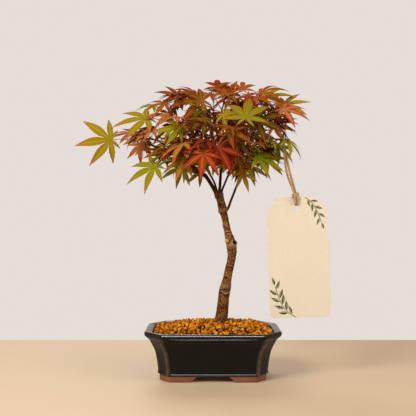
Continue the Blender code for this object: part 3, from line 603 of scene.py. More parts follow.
rings = [[(p.x, p.y, z) for p in pot_corners(inset)] for z, inset in SOIL_SIDES]
for share in SOIL_RINGS:
    ring = [TRUNK_FOOT.lerp(Vector(p[:2]), share) for p in rings[len(SOIL_SIDES) - 1]]
    rings.append([(p.x, p.y, bed_height(p.x, p.y)[0] - SOIL_UNDER) for p in ring])
earth = add_piece("damp_soil_bed", *stacked(rings), (soil,), "gravel", 50)
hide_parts("gravel_bed")

# ---------------------------------------------------------------------------------------------
# Trunk and boughs. One piece of living wood: a leaning trunk with a low root flare, a graft
# swelling, a knuckle with two old pruning cuts, and five boughs from the fork at its top. Brown
# fissured bark below gives way to smooth dark red young bark above.
# ---------------------------------------------------------------------------------------------
TRUNK_LINE = (               # middle line and radius, from the soil to the fork
    ((9.0, 0.0, 57.9), 7.8), ((10.3, 0.0, 70.0), 6.7), ((12.1, 0.0, 87.0), 6.0),
    ((13.8, 0.4, 97.0), 6.3), ((15.6, 0.8, 106.0), 5.1), ((17.5, 0.8, 116.0), 4.5),
    ((21.2, 0.4, 133.0), 4.6), ((20.6, 0.0, 146.0), 5.6), ((16.4, -0.4, 161.7), 3.9),
    ((12.9, -0.4, 178.5), 3.9), ((11.2, -0.2, 184.4), 4.8), ((8.6, 0.0, 195.8), 4.3),
    ((6.6, 0.3, 205.4), 4.9))
STUBS = (                    # foot, way, radius, length, and how deep its heart has rotted out
    ((18.2, -1.0, 148.6), (-0.44, -0.80, 0.40), 2.1, 7.3, 0.0),
    ((21.5, -1.0, 146.4), (0.42, -0.80, 0.43), 3.0, 6.6, 2.6))
COLLAR = ((0.0, 1.25), (0.6, 1.16), (0.93, 1.2), (1.0, 0.9))     # a stub's shares of length, radius
BOUGHS = {
    "bough_left": (((2.3, -1.4, 206.6), (-5.2, -4.0, 219.0), (-9.5, -6.0, 223.4),
                    (-16.6, -9.0, 227.5), (-23.1, -12.0, 234.0), (-31.2, -14.0, 240.5)), 2.3, 1.4),
    "bough_back_left": (((4.6, 3.4, 206.6), (1.2, 8.0, 217.5), (-3.8, 14.0, 226.8),
                         (-8.1, 22.0, 239.6), (-13.0, 30.0, 252.0)), 1.3, 1.0),
    "bough_leader": (((7.5, -1.8, 206.6), (8.6, -2.0, 225.0), (9.1, -1.0, 235.0),
                      (8.0, 1.0, 252.0), (5.0, 3.0, 268.0), (3.0, 3.0, 282.0)), 1.8, 1.1),
    "bough_back_right": (((10.0, 2.6, 206.6), (16.2, 6.5, 221.8), (21.3, 11.0, 234.7),
                          (30.5, 21.0, 251.0), (36.0, 28.0, 262.0)), 1.3, 1.0),
    "bough_right": (((16.6, -1.6, 186.8), (20.2, -3.2, 196.0), (26.2, -6.0, 211.8),
                     (33.0, -11.0, 231.9), (37.6, -15.0, 246.1), (38.8, -17.0, 258.0)), 1.5, 1.0),
}
BOUGH_ROOTS = {              # where each bough leaves the wood of the trunk
    "bough_left": (5.6, 0.0, 199.0), "bough_back_left": (6.6, 1.4, 199.5),
    "bough_leader": (7.2, -0.6, 199.0), "bough_back_right": (8.6, 1.0, 199.0),
    "bough_right": (11.4, -0.6, 182.0)}
BOUGH_FULLER = 1.12          # boughs are a little fuller than the source's seven sides
BOUGH_SWELL = 1.35           # and swell at the root, within their first span
TRUNK_SUNK = 1.5             # how far the trunk stands in the gravel
TRUNK_STEPS, BOUGH_STEPS = 8, 6
TRUNK_SIDES, BOUGH_ROUND, STUB_SIDES = 26, 14, 16
BARK_VOXEL = 0.42
ROOT_RIDGES = (5, 0.13, 14.0)    # how many, share of the radius, and over what height they fade
SOFT_LUMPS = 0.07
SCARS = (                    # raised rings: height, rise, half width
    (184.4, 0.55, 1.3), (176.0, 0.20, 0.8), (168.0, 0.14, 0.8), (126.0, 0.2, 0.9),
    (112.5, 0.22, 0.9), (90.5, 0.45, 1.2), (78.0, 0.2, 1.0), (196.4, 0.25, 1.0))
OLD_ASIDE = (3.0, 10.5)      # bark is old up to here from the trunk's middle, and young from there
OLD_UP = (200.0, 214.0)      # and the same for its height
GRAFT_LIP = (14.3, 92.3)     # middle of the pale lip that healed over the graft, from the front
GRAFT_LIP_BOW = (0.16, 4.0)  # how it bends up to its ends, and how far out
GRAFT_LIP_HALF = (4.6, 0.6)  # its half length and half width
GRAFT_HOLLOW = (13.4, 96.7)  # middle of the hollow over it, darkened as painted shade
RING_SCAR = (16.5, 161.7)    # a pale ring, a little aslant, between the knuckle and the fork
PALE_BANDS = ((101.0, 3.2, 0.3), (185.0, 2.0, 0.2))      # height, half width, how strong
# Rings of painted shade under the knuckle and under the swelling below the fork: height, half width,
# how strong
PAINTED_SHADE_RINGS = ((141.0, 0.7, 0.5), (181.2, 0.8, 0.6))
KNUCKLE_WEAR = (147.5, 4.0)  # pale front of the knuckle: height, half width
FORK_DARK = (184.0, 190.0)   # the wood darkens towards the fork between these heights
BATCH = 4000                 # points measured at a time


def tube(points, radii, sides, closed=False, shape=None):
    """A round limb along points; shape(ring, angle) scales the radius where it is given."""
    pts = [Vector(p) for p in points]
    last = len(pts) - 1
    rings = []
    side = None
    for i, point in enumerate(pts):
        before = pts[i - 1] if closed or i else point
        after = pts[(i + 1) % len(pts)] if closed or i < last else point
        along = (after - before).normalized()
        if side is None:
            side = along.orthogonal().normalized()
        side = (side - along * side.dot(along)).normalized()
        across = along.cross(side)
        ring = []
        for k in range(sides):
            angle = math.tau * k / sides
            reach = radii[i] * (shape(i, angle) if shape else 1.0)
            ring.append(point + (side * math.cos(angle) + across * math.sin(angle)) * reach)
        rings.append(ring)
    verts, faces = stacked(rings)
    if closed:
        faces = faces[2:]
        turn = round(math.atan2((rings[0][0] - pts[0]).dot(across), (rings[0][0] - pts[0]).dot(side))
                     / math.tau * sides)
        for k in range(sides):
            faces.append((last * sides + (k + turn) % sides, last * sides + (k + 1 + turn) % sides,
                          (k + 1) % sides, k % sides))
    return verts, faces


def join_all(solids):
    """Several lists of points and faces as one."""
    verts, faces = [], []
    for points, sides in solids:
        faces += [[k + len(verts) for k in face] for face in sides]
        verts += [tuple(p) for p in points]
    return verts, faces


line = smooth_line([p for p, r in TRUNK_LINE], TRUNK_STEPS)
sizes = [v.x for v in smooth_line([(r, 0, 0) for p, r in TRUNK_LINE], TRUNK_STEPS)]


def trunk_shape(ring, angle):
    """Root ridges at the soil, soft lumps above and raised rings where buds once sat."""
    spot = line[ring]
    count, much, fade = ROOT_RIDGES
    low = max(0.0, 1 - (spot.z - TRUNK_LINE[0][0][2]) / fade)
    flare = much * math.cos(count * angle + 0.6) * low ** 1.5
    around = Vector((math.cos(angle) * 1.3, math.sin(angle) * 1.3, spot.z * 0.06))
    lump = SOFT_LUMPS * noise.noise(around)
    scar = sum(rise * hump(spot.z, z, half) for z, rise, half in SCARS) / sizes[ring]
    return 1 + flare + lump + scar


line[0].z -= TRUNK_SUNK
limbs = [tube(line, sizes, TRUNK_SIDES, shape=trunk_shape)]
for spot, way, radius, length, rot in STUBS:
    start = Vector(spot)
    end = start + Vector(way).normalized() * length
    limbs.append(tube([start.lerp(end, share) for share, swell in COLLAR],
                      [radius * swell for share, swell in COLLAR], STUB_SIDES))
for name, (points, thick, thin_end) in BOUGHS.items():
    path = smooth_line([BOUGH_ROOTS[name]] + list(points), BOUGH_STEPS)
    last = len(path) - 1
    swell = [BOUGH_FULLER * max(1.0, BOUGH_SWELL - n / (2 * BOUGH_STEPS)) for n in range(last + 1)]
    limbs.append(tube(path, [thick * more + (thin_end - thick) * n / last
                             for n, more in enumerate(swell)], BOUGH_ROUND))
verts, faces = join_all(limbs)
wood = add_piece("trunk_and_boughs", verts, faces, (), "bark", 60)
fine = wood.modifiers.new("Fine", "REMESH")
fine.mode = "VOXEL"
fine.voxel_size = BARK_VOXEL * MM
even = wood.modifiers.new("Even", "SMOOTH")
even.factor = 0.6
even.iterations = 4
whole = bpy.data.meshes.new_from_object(wood.evaluated_get(bpy.context.evaluated_depsgraph_get()))
wood.modifiers.clear()
wood.data = whole
whole.shade_smooth()


def read_points(mesh, what):
    """The places or the normals of a mesh's points, one row each."""
    flat = np.empty(len(mesh.vertices) * 3)
    mesh.vertices.foreach_get(what, flat)
    return flat.reshape(-1, 3)


def fades(value, full, gone):
    """1 up to full, 0 from gone on, and even between them."""
    return np.clip((gone - value) / (gone - full), 0, 1)


def band(value, middle, half):
    """A soft mark, 1 at its middle."""
    return np.exp(-((value - middle) / half) ** 2)


points = (read_points(whole, "co") - np.array(POT_MIDDLE)) / MM
normals = read_points(whole, "normal")
axis = np.array([p[:] for p in line])
old = fades(points[:, 2], *OLD_UP)
for first in range(0, len(points), BATCH):
    gaps = np.linalg.norm(points[first:first + BATCH, None, :] - axis[None, :, :], axis=2)
    old[first:first + BATCH] *= fades(gaps.min(axis=1), *OLD_ASIDE)

# Furrows are drawn out along the wood, and flakes of cork stand between them.
relief = np.empty(len(points))
for n, (x, y, z) in enumerate(points):
    furrow = 1 - abs(noise.noise(Vector((x * 0.75, y * 0.75, z * 0.17)) * 1.15)) * 2.2
    flake = noise.noise(Vector((x * 1.9, y * 1.9, z * 0.7)))
    relief[n] = 0.7 * (1 - furrow) - 0.55 * max(0.0, furrow - 0.62) * 2.6 + 0.35 * flake
points += normals * (relief * (0.05 + 0.38 * old))[:, None]

# Where the wood has healed pale, and where it is darkened: painted shade in the crease under the
# graft's lip, in the hollow over it and in rings under the knuckle and under the swelling below the
# fork, rot in the hollow stub, and a darkening towards the fork.
x, y, z = points.T
front = fades(y, -1.5, 1.5)
aside = np.abs(x - GRAFT_LIP[0])
lip = z - (GRAFT_LIP[1] + GRAFT_LIP_BOW[0] * np.minimum(GRAFT_LIP_BOW[1], aside) ** 2)
lip_line = front * band(lip, 0.0, GRAFT_LIP_HALF[1]) * (aside < GRAFT_LIP_HALF[0])
pale = 0.8 * lip_line + 0.5 * front * band(z, *KNUCKLE_WEAR)
pale += 0.7 * band(z - 0.12 * (x - RING_SCAR[0]), RING_SCAR[1], 0.4)
pale += sum(much * band(z, middle, half) for middle, half, much in PALE_BANDS)
# Painted shade: darker in the crease under the graft's lip, in the hollow over it and in rings under
# the knuckle and under the swelling below the fork.
dark = 0.9 * front * band(lip, -2.3, 0.9)
dark += 0.8 * front * band(x, GRAFT_HOLLOW[0], 2.6) * band(z, GRAFT_HOLLOW[1], 1.9)
dark += sum(much * band(z, middle, half) for middle, half, much in PAINTED_SHADE_RINGS)
dark += 0.45 * (1 - fades(z, *FORK_DARK))
points += normals * (0.55 * lip_line - 0.35 * np.minimum(dark, 1.0))[:, None]

# Cut ends: a pale face with a bright heart on the sound stub, and a hollow in the rotted one,
# darkened for its rot and as painted shade.
for spot, way, radius, length, rot in STUBS:
    way = np.array(Vector(way).normalized())
    beyond = (points - np.array(spot)) @ way
    aside = np.linalg.norm(points - np.array(spot) - beyond[:, None] * way, axis=1)
    end = (beyond > length - 1.5) * (aside < radius * 1.3)
    heart = fades(aside, radius * 0.86 - 0.5, radius * 0.86) * end
    pale += heart * (-1.0 if rot else 2.2) + 0.3 * end
    dark += heart * (1.6 if rot else 0.0)
    points -= way * (heart * rot)[:, None]
whole.vertices.foreach_set("co", (points * MM + np.array(POT_MIDDLE)).ravel())
whole.update()
marks = {"relief": relief * 0.5 + 0.5, "old": old, "pale": pale, "dark": dark}
for name, values in marks.items():
    set_mark(wood, name, np.clip(values, 0, 1))

# Maple bark: dull and corky, in tan plates worn over 10 mm with brown blotches, fibres, near-black
# pits and pale flakes of 1 to 3 mm. It goes over to smooth dark red young bark, and is pale where it
# has healed. Its furrows are darkened by their depth, which is painted shade, and the dark mark
# makes it near black, partly rot and partly painted shade.
bark, tree, shader = new_material("maple_bark", Specular_IOR_Level=0.15, Roughness=0.8, IOR=1.45)
where = node(tree, "TexCoord").outputs["Object"]
mark = {name: node(tree, "Attribute", attribute_name=name).outputs["Fac"] for name in marks}
plates = node(tree, "TexNoise", {"Vector": where, "Scale": spaced(10.5), "Detail": 3.0,
                                 "Roughness": 0.6})
grain = node(tree, "Mapping", {"Vector": where, "Scale": (1.0, 1.0, 0.65)})
fibre = node(tree, "TexNoise", {"Vector": grain, "Scale": spaced(1.28), "Detail": 5.0,
                                "Roughness": 0.7})
blotch = node(tree, "TexNoise", {"Vector": grain, "Scale": spaced(3.33), "Detail": 3.0})
worn = node(tree, "ValToRGB", {"Fac": plates}, ((0.40, "#82480E"), (0.68, "#A27034")))
# Painted shade: the bark is darkened in its furrows, the deeper the darker.
deep = node(tree, "ValToRGB", {"Fac": mark["relief"]}, ((0.26, "#6E4A2E"), (0.58, "#FFFFFF")))
shaded = node(tree, "Mix", {"Factor": 1.0, "A": worn, "B": deep}, data_type="RGBA",
              blend_type="MULTIPLY")
spots = node(tree, "ValToRGB", {"Fac": blotch}, ((0.42, "#7E5E44"), (0.52, "#FFFFFF")))
stained = node(tree, "Mix", {"Factor": 0.6, "A": shaded, "B": spots}, data_type="RGBA",
               blend_type="MULTIPLY")
fleck = node(tree, "MapRange", {"Value": fibre, "From Min": 0.41, "From Max": 0.59,
                                "To Min": 0.42, "To Max": 1.75})
aged = node(tree, "Mix", {"Factor": 1.0, "A": stained, "B": fleck}, data_type="RGBA",
            blend_type="MULTIPLY")
crumb = node(tree, "TexNoise", {"Vector": where, "Scale": spaced(1.92), "Detail": 2.0})
pits = node(tree, "MapRange", {"Value": crumb, "From Min": 0.55, "From Max": 0.62,
                               "To Min": 0.0, "To Max": 0.7})
pitted = node(tree, "Mix", {"Factor": pits, "A": aged, "B": "#2C1608"}, data_type="RGBA")
flakes = node(tree, "MapRange", {"Value": crumb, "From Min": 0.45, "From Max": 0.38,
                                 "To Min": 0.0, "To Max": 0.55})
flaked = node(tree, "Mix", {"Factor": flakes, "A": pitted, "B": "#B48C5C"}, data_type="RGBA")
youth = node(tree, "Mix", {"Factor": blotch, "A": "#2A0E0C", "B": "#602219"}, data_type="RGBA")
grown = node(tree, "Mix", {"Factor": mark["old"], "A": youth, "B": flaked}, data_type="RGBA")
healed = node(tree, "Mix", {"Factor": mark["pale"], "A": grown, "B": "#C29A60"}, data_type="RGBA")
# The dark mark darkens it: rot, and painted shade in creases and hollows.
darkened_by_rot_and_shade = node(tree, "Mix", {"Factor": mark["dark"], "A": healed, "B": "#1C0E06"}, data_type="RGBA")
corky = node(tree, "Bump", {"Height": fibre, "Strength": 0.7, "Distance": 0.8 * MM})
feed(shader, {"Base Color": darkened_by_rot_and_shade, "Normal": corky})
whole.materials.clear()
whole.materials.append(bark)
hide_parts("trunk", *BOUGHS)

# ---------------------------------------------------------------------------------------------
# Twine. Jute, three thin plies twisted together, looped over a leaf stalk of the right-hand twig,
# drawn into a knot just above the card and passed through its hole.
# ---------------------------------------------------------------------------------------------
TWIG_RADIUS = 0.75
TWINE_RADIUS = 1.15
TWINE_SLACK = 0.9
TWINE_TOP = (76.0, -22.6, 263.8)
TWINE_BEND = (81.4, -22.4, 228.5)
TWINE_KNOT = (89.2, -22.4, 203.0)
TAG_HOLE = (91.1, -22.4, 188.3)
TWINE_GAPS = ((1.7, 0.4), (0.9, 1.5), (0.0, 1.9))    # half the gap, across and back, below the twig
PLY_RADIUS = 0.72
PLY_OFFSET = 0.62
PLY_PITCH = 4.6
PLY_SIDES = 7
PLIES = 3
PLY_STEP = 0.5
STRANDS_END = 1.5            # how far under the knot's middle the two strands run
KNOT_MIDDLE = (89.6, -22.9, 201.4)
KNOT_HALF = (3.1, 2.5)       # of its round turns, across and from front to back
KNOT_TURNS = 2.1
KNOT_START = 0.2             # share of a turn
KNOT_RISE = 2.3              # from one turn to the next
KNOT_STEPS = 47
LEG_ASIDE = 1.5
LEG_LINE = (                 # from the knot through the hole and back: place, share of LEG_ASIDE
    (90.0, -22.6, 203.5, 1.0), (90.2, -24.6, 200.0, 1.0), (90.5, -24.4, 196.0, 0.95),
    (90.8, -24.0, 192.6, 0.85), (91.0, -22.4, 190.7, 0.8), (91.0, -20.8, 192.6, 0.8),
    (90.6, -20.5, 196.0, 0.9), (90.2, -21.0, 200.5, 1.0))


def twine_line():
    """The loop's middle line: over the twig, down either side, and through the tag's hole."""
    spread = TWINE_RADIUS + TWIG_RADIUS + TWINE_SLACK
    down = smooth_line((TWINE_TOP, TWINE_BEND, TWINE_KNOT, TAG_HOLE), 6)
    gaps = smooth_line([(0, spread, 0)] + [(across, back, 0) for across, back in TWINE_GAPS], 6)
    front = [p - g for p, g in zip(down, gaps)]
    back = [p + g for p, g in zip(down, gaps)]
    over = [down[0] + Vector((0, spread * math.cos(a), spread * math.sin(a)))
            for a in (math.radians(d) for d in (45, 90, 135))]
    turn = TWINE_GAPS[-1][1]
    under = [down[-1] + Vector((0, turn * math.cos(a), -turn * math.sin(a)))
             for a in (math.radians(d) for d in (135, 90, 45))]
    return front + under + back[::-1] + over


def even_line(points, step):
    """A line as places a fixed step apart."""
    pts = [Vector(p) for p in points]
    spots, left = [], 0.0
    for a, b in zip(pts, pts[1:]):
        length = (b - a).length
        while left < length:
            spots.append(a.lerp(b, left / length))
            left += step
        left -= length
    return spots


def twist(path, offset, radius, pitch, strands, sides):
    """Strands wound round a path like the plies of a twine."""
    solids = []
    last = len(path) - 1
    for strand in range(strands):
        spots, side, gone = [], None, 0.0
        for i, spot in enumerate(path):
            ahead = path[min(i + 1, last)]
            along = (ahead - path[max(i - 1, 0)]).normalized()
            side = along.orthogonal() if side is None else side
            side = (side - along * side.dot(along)).normalized()
            angle = math.tau * (gone / pitch + strand / strands)
            out = side * math.cos(angle) + along.cross(side) * math.sin(angle)
            spots.append(spot + out * offset)
            gone += (ahead - spot).length
        solids.append(tube(spots, [radius] * len(spots), sides))
    return solids


loop = twine_line()
half = len(loop) // 2
strands = [p for p in loop[half:] + loop[:half] if p.z > KNOT_MIDDLE[2] - STRANDS_END]
turns = []
for step in range(KNOT_STEPS + 1):
    share = step / KNOT_STEPS
    angle = math.tau * (KNOT_TURNS * share + KNOT_START)
    out = Vector((KNOT_HALF[0] * math.cos(angle), KNOT_HALF[1] * math.sin(angle), 0))
    turns.append(Vector(KNOT_MIDDLE) + out + Vector((0, 0, KNOT_RISE * KNOT_TURNS * (share - 0.5))))
legs = [smooth_line([(x + side * part, y, z) for x, y, z, part in LEG_LINE], 5)
        for side in (-LEG_ASIDE, LEG_ASIDE)]
plies = []
for path in [strands, turns] + legs:
    plies += twist(even_line(path, PLY_STEP), PLY_OFFSET, PLY_RADIUS, PLY_PITCH, PLIES, PLY_SIDES)
verts, faces = join_all(plies)

# Jute: dull golden plant fibre, hairy, darker and paler from hair to hair. Its hairs are drawn 0.8
# mm apart, coarser than real ones so that they show.
jute, tree, shader = new_material("twisted_jute", Roughness=0.93, IOR=1.45)
where = node(tree, "TexCoord").outputs["Object"]
hair = node(tree, "TexNoise", {"Vector": where, "Scale": spaced(0.77), "Detail": 4.0,
                               "Roughness": 0.7})
tone = node(tree, "ValToRGB", {"Fac": hair}, ((0.34, "#946834"), (0.68, "#EAC592")))
fuzzy = node(tree, "Bump", {"Height": hair, "Strength": 0.8, "Distance": 0.5 * MM})
feed(shader, {"Base Color": tone, "Normal": fuzzy})
twine = add_piece("jute_twine", verts, faces, (jute,), "jute", 60)
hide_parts("twine_loop")

# ---------------------------------------------------------------------------------------------
# Foliage. Each spray is a stem on its bough with twigs, stalks and seven-lobed leaves, grown by
# one seeded rule. The leading leaves are the large ones at the crown's outside; finer twigs with
# smaller leaves then fill the crown behind them, and the gaps of open sky stay open.
# ---------------------------------------------------------------------------------------------
SEED = 7
LOBES = ((-136, 0.34), (-90, 0.62), (-44, 0.93), (0, 1.0), (44, 0.93), (90, 0.62), (136, 0.34))
LOBE_HALF_WIDTH = 0.108      # of the middle lobe's length, at the widest
LOBE_WIDEST = 0.47           # where a lobe is widest, along itself
NOTCH = 0.17                 # how near the stalk the cuts between lobes reach
HEEL = 0.05                  # how far the blade reaches behind the stalk's end
HEEL_HALF_WIDTH = 0.7
LOBE_SMALL = 0.7             # lobes up to this share are plain points
LEAF_THICK = 0.62
LEAF_DROOP = 0.20
CLEAR = 0.3                  # gap between a stem and its bough
BOUGH_SIDES = 7
STEM_RADIUS = 1.0
STALK_RADIUS = 0.55
STALK_LENGTH = (13.0, 27.0)
BLADE_LENGTH = (20.0, 31.0)
LEAF_TURN = (-85, 85)        # degrees that a leaf of the rule stands aside from straight outwards
LEAF_RISE = (-25, 55)        # and over the level
CROWN_MIDDLE = (0.0, 0.0, 270.0)
CROWN_HALF = (106.0, 80.0, 57.0)
SKY_GAPS = ((-3.0, 306.0, 6.5), (9.0, 303.0, 7.0), (-27.0, 296.0, 6.5), (-7.0, 275.0, 4.0),
            (60.0, 272.0, 7.0), (-62.0, 262.0, 6.0), (-51.0, 229.0, 6.0), (-21.0, 224.0, 5.0))
GUARD = 0.45                 # room tested round a new twig or leaf
LEAD_TRIES = 30
FILL_ROUNDS = 200
LEAD_TEETH = 8               # teeth on each edge of a lobe
FINE_SEED = 23
FINE_STALK = (6.0, 22.0)
FINE_BLADE = (16.0, 29.0)
FINE_TEETH = 3
FINE_TWIGS = 0.35            # share of the small leaves whose stalk becomes a fine twig
FINE_TWIG_RADII = [0.55, 0.45, 0.4]
FINE_ROUNDS = 120
FINE_LEAVES = 20             # most small leaves that one spray takes

# A spray's mood, its bough, how far along it, the fork of its twigs, how far it reaches, the
# leaves that the rule adds, and its leading leaves. A leading leaf: place of its stalk's end,
# turn of the middle lobe, degrees that it points out of the crown, degrees that its face is
# rolled to the sky, length of its blade, and its tint.
SPRAYS = (
    ("spray_far_left", "olive", "bough_left", 1.00, (-62, -14, 262), 36, 4, (
        ((-113, -10, 263), 188, 0, 8, 40, "olive"), ((-92, 8, 272), 198, 10, 64, 27, "salmon"),
        ((-65, -18, 274), 200, 5, 60, 25, "salmon"))),
    ("spray_low_left", "lime", "bough_left", 0.92, (-46, -18, 240), 34, 3, (
        ((-63, -20, 233), 212, 0, 42, 35, "lime"), ((-55, -10, 250), 176, 0, 60, 28, "rust"))),
    ("spray_left_front", "orange", "bough_left", 0.80, (-22, -28, 250), 34, 4, (
        ((-31, -42, 256), 213, 5, 72, 34, "tan"), ((-31, -31, 240), 250, 15, 30, 25, "gold"))),
    ("spray_upper_left", "olive", "bough_back_left", 1.00, (-40, 8, 284), 42, 7, (
        ((-72, -4, 288), 196, 0, 50, 40, "olive"), ((-67, 17, 304), 192, 0, 62, 23, "green"),
        ((-46, -14, 289), 184, 5, 50, 28, "salmon"))),
    ("spray_back_left", "olive", "bough_back_left", 0.93, (-50, 36, 264), 42, 7, (
        ((-80, 42, 270), 190, 23, 35, 30, "olive"), ((-48, 66, 268), 240, 34, 40, 30, "gold"))),
    ("spray_back_low_left", "green", "bough_back_left", 0.62, (-26, 40, 240), 38, 3, (
        ((-38, 56, 236), 250, 34, 35, 29, "green"), ((-14, 22, 230), 225, 5, 30, 22, "olive"))),
    ("spray_crown_left", "bronze", "bough_leader", 1.00, (-18, 2, 304), 38, 5, (
        ((-39, 5, 313), 169, 0, 45, 27, "bronze"), ((-20, 10, 318), 172, 10, 60, 26, "crimson"),
        ((-53, -6, 304), 196, 5, 55, 25, "rust"))),
    ("spray_crown_front", "bronze", "bough_leader", 0.92, (0, -20, 294), 32, 4, (
        ((-12, -30, 303), 193, 0, 38, 39, "bronze"), ((13, -14, 313), 104, -45, 70, 25, "rust"),
        ((-27, -12, 311), 186, 10, 55, 26, "burgundy"),
        ((11, -36, 288), 322, 10, 32, 23, "olive"))),
    ("spray_left_face", "olive", "bough_leader", 0.74, (-20, -28, 272), 34, 5, (
        ((-36, -42, 273), 190, 5, 15, 27, "lime"), ((-8, -48, 281), 216, 15, 42, 27, "dusk"),
        ((-14, -24, 292), 197, 5, 55, 23, "green"))),
    ("spray_crown_top", "crimson", "bough_leader", 0.97, (14, 6, 312), 32, 7, (
        ((6, -5, 322), 90, -62, 62, 27, "crimson"), ((33, 5, 321), 88, -55, 60, 25, "rust"),
        ((19, 12, 318), 60, -40, 60, 25, "rust"), ((21, -14, 311), 212, 0, 55, 26, "bronze"),
        ((-2, 4, 315), 196, 0, 60, 26, "rust"))),
    ("spray_crown_back", "crimson", "bough_leader", 0.84, (2, 40, 298), 42, 8, (
        ((-14, 58, 300), 230, 38, 42, 29, "crimson"), ((24, 56, 304), 310, 34, 45, 29, "bronze"))),
    ("spray_front_red", "crimson", "bough_leader", 0.50, (2, -36, 258), 34, 4, (
        ((-10, -62, 244), 262, 20, 5, 29, "scarlet"), ((5, -52, 251), 300, 8, 20, 31, "crimson"),
        ((26, -46, 260), 262, 6, 35, 26, "dusk"))),
    ("spray_crown_right", "orange", "bough_back_right", 1.00, (46, 12, 304), 40, 7, (
        ((53, -6, 316), 4, 5, 58, 30, "rust"), ((59, 9, 313), 3, 0, 56, 35, "olive"),
        ((79, 0, 303), 7, 0, 45, 31, "olive"), ((38, -16, 311), 300, 20, 55, 24, "crimson"),
        ((70, -10, 302), 340, 0, 50, 26, "rust"), ((44, -22, 305), 352, 0, 68, 27, "rust"))),
    ("spray_back_right", "bronze", "bough_back_right", 0.90, (54, 38, 278), 40, 5, (
        ((72, 36, 284), 352, 23, 42, 28, "salmon"), ((52, 64, 278), 300, 34, 40, 30, "bronze"))),
    ("spray_back_low_right", "green", "bough_back_right", 0.60, (34, 40, 244), 40, 6, (
        ((44, 56, 238), 290, 34, 35, 28, "green"), ((62, 30, 246), 318, 10, 40, 28, "olive"))),
    ("spray_right_face", "salmon", "bough_right", 1.00, (54, -18, 284), 36, 6, (
        ((73, -18, 291), 338, 5, 50, 31, "salmon"), ((46, -44, 281), 334, 5, 25, 33, "dusk"))),
    ("spray_front_light", "bronze", "bough_right", 0.93, (34, -34, 268), 30, 4, (
        ((34, -58, 281), 77, -42, 70, 38, "light"),)),
    ("spray_tag_twig", "green", "bough_right", 0.86, (56, -22, 266), 32, 3, (
        ((80.5, -23, 261), 312, 5, 72, 25, "lime"), ((71, -8, 256), 312, 5, 50, 25, "green"))),
    ("spray_low_right", "green", "bough_right", 0.66, (42, -24, 246), 34, 5, (
        ((48, -35, 242), 331, 0, 50, 32, "green"), ((32, -18, 226), 288, 5, 25, 21, "olive"),
        ((27, -32, 240), 284, 10, 40, 24, "bronze"))),
)
# The tints that a spray's own leaves are dealt, the first most often.
MOODS = {
    "olive": ("olive", "rust", "gold", "green", "salmon", "bronze"),
    "lime": ("lime", "olive", "green", "gold", "rust"),
    "green": ("green", "olive", "lime", "dusk", "burgundy"),
    "orange": ("orange", "rust", "salmon", "olive", "burgundy"),
    "salmon": ("salmon", "burgundy", "dusk", "crimson", "olive"),
    "bronze": ("bronze", "rust", "burgundy", "dusk", "orange"),
    "crimson": ("crimson", "rust", "burgundy", "scarlet", "bronze"),
}
# Darker tints for the leaves deep inside the crown: painted shade.
PAINTED_SHADE_TINTS = ("bronze", "rust", "burgundy", "olive", "bronze")       # deep inside the crown
# Autumn colour of one leaf: heart, margin, lobe tip, veins, underside.
TINTS = {
    "olive": ("#94820A", "#A27414", "#A85812", "#AE9C3E", "#9E8636"),
    "gold": ("#8C7A10", "#A6641A", "#AC501E", "#A4903C", "#9C8038"),
    "lime": ("#868204", "#927A0C", "#A06012", "#A29C38", "#908836"),
    "light": ("#7E780E", "#96701E", "#A85A2A", "#989038", "#8A8034"),
    "green": ("#6E7C06", "#84760C", "#90500F", "#98A034", "#7C7C30"),
    "orange": ("#AE6812", "#B25416", "#983410", "#C08438", "#AC7038"),
    "salmon": ("#B4683A", "#AE4E28", "#92301C", "#C48658", "#AE6C48"),
    "bronze": ("#80500E", "#84380E", "#7C2410", "#9A6E32", "#8C6036"),
    "rust": ("#98500F", "#A04610", "#8E2E12", "#B06C34", "#A0623A"),
    "tan": ("#AC702A", "#AE6026", "#9C421A", "#C08A48", "#AC7244"),
    # This tint is a dimmed olive: painted shade.
    "dusk": ("#5A460E", "#62320E", "#62240E", "#7C6428", "#665024"),
    "burgundy": ("#6E3416", "#782412", "#701814", "#924A34", "#7A4428"),
    "crimson": ("#883414", "#92241A", "#861816", "#A65E3C", "#944E34"),
    "scarlet": ("#A04414", "#9E301A", "#921E1A", "#B46838", "#9C4C2E"),
}


def bough_line(name, steps=2):
    """The middle line of a bough and its radius at each place."""
    points, thick, thin = BOUGHS[name]
    line = smooth_line(points, steps)
    return line, [thick + (thin - thick) * i / (len(line) - 1) for i in range(len(line))]


def bough_tube(name):
    """A bough's surface; one that stands on the fork is cut flat just above it."""
    line, radii = bough_line(name)
    verts, faces = tube(line, radii, BOUGH_SIDES)
    seat = TRUNK_LINE[-1][0][2] + CLEAR
    if line[0].z > seat:
        for k in range(BOUGH_SIDES):
            verts[k].z = seat
    return verts, faces


def blade_rim(length):
    """Points round a leaf, anticlockwise from the right of its stalk; middle lobe along +X."""
    plan = [(-HEEL * length, -HEEL_HALF_WIDTH)]

    def polar(angle, reach):
        turn = math.radians(angle)
        plan.append((math.cos(turn) * reach * length, math.sin(turn) * reach * length))

    before, shorter = None, None
    for angle, share in LOBES:
        if before is not None:
            polar((angle + before) / 2, NOTCH * min(share, shorter) ** 0.7)
        half = math.degrees(math.atan2(LOBE_HALF_WIDTH, LOBE_WIDEST))
        if share > LOBE_SMALL:
            polar(angle - half, LOBE_WIDEST * share)
        polar(angle, share)
        if share > LOBE_SMALL:
            polar(angle + half, LOBE_WIDEST * share)
        before, shorter = angle, share
    plan.append((-HEEL * length, HEEL_HALF_WIDTH))
    return [Vector((x, y, -LEAF_DROOP * (x * x + y * y) / length)) for x, y in plan]


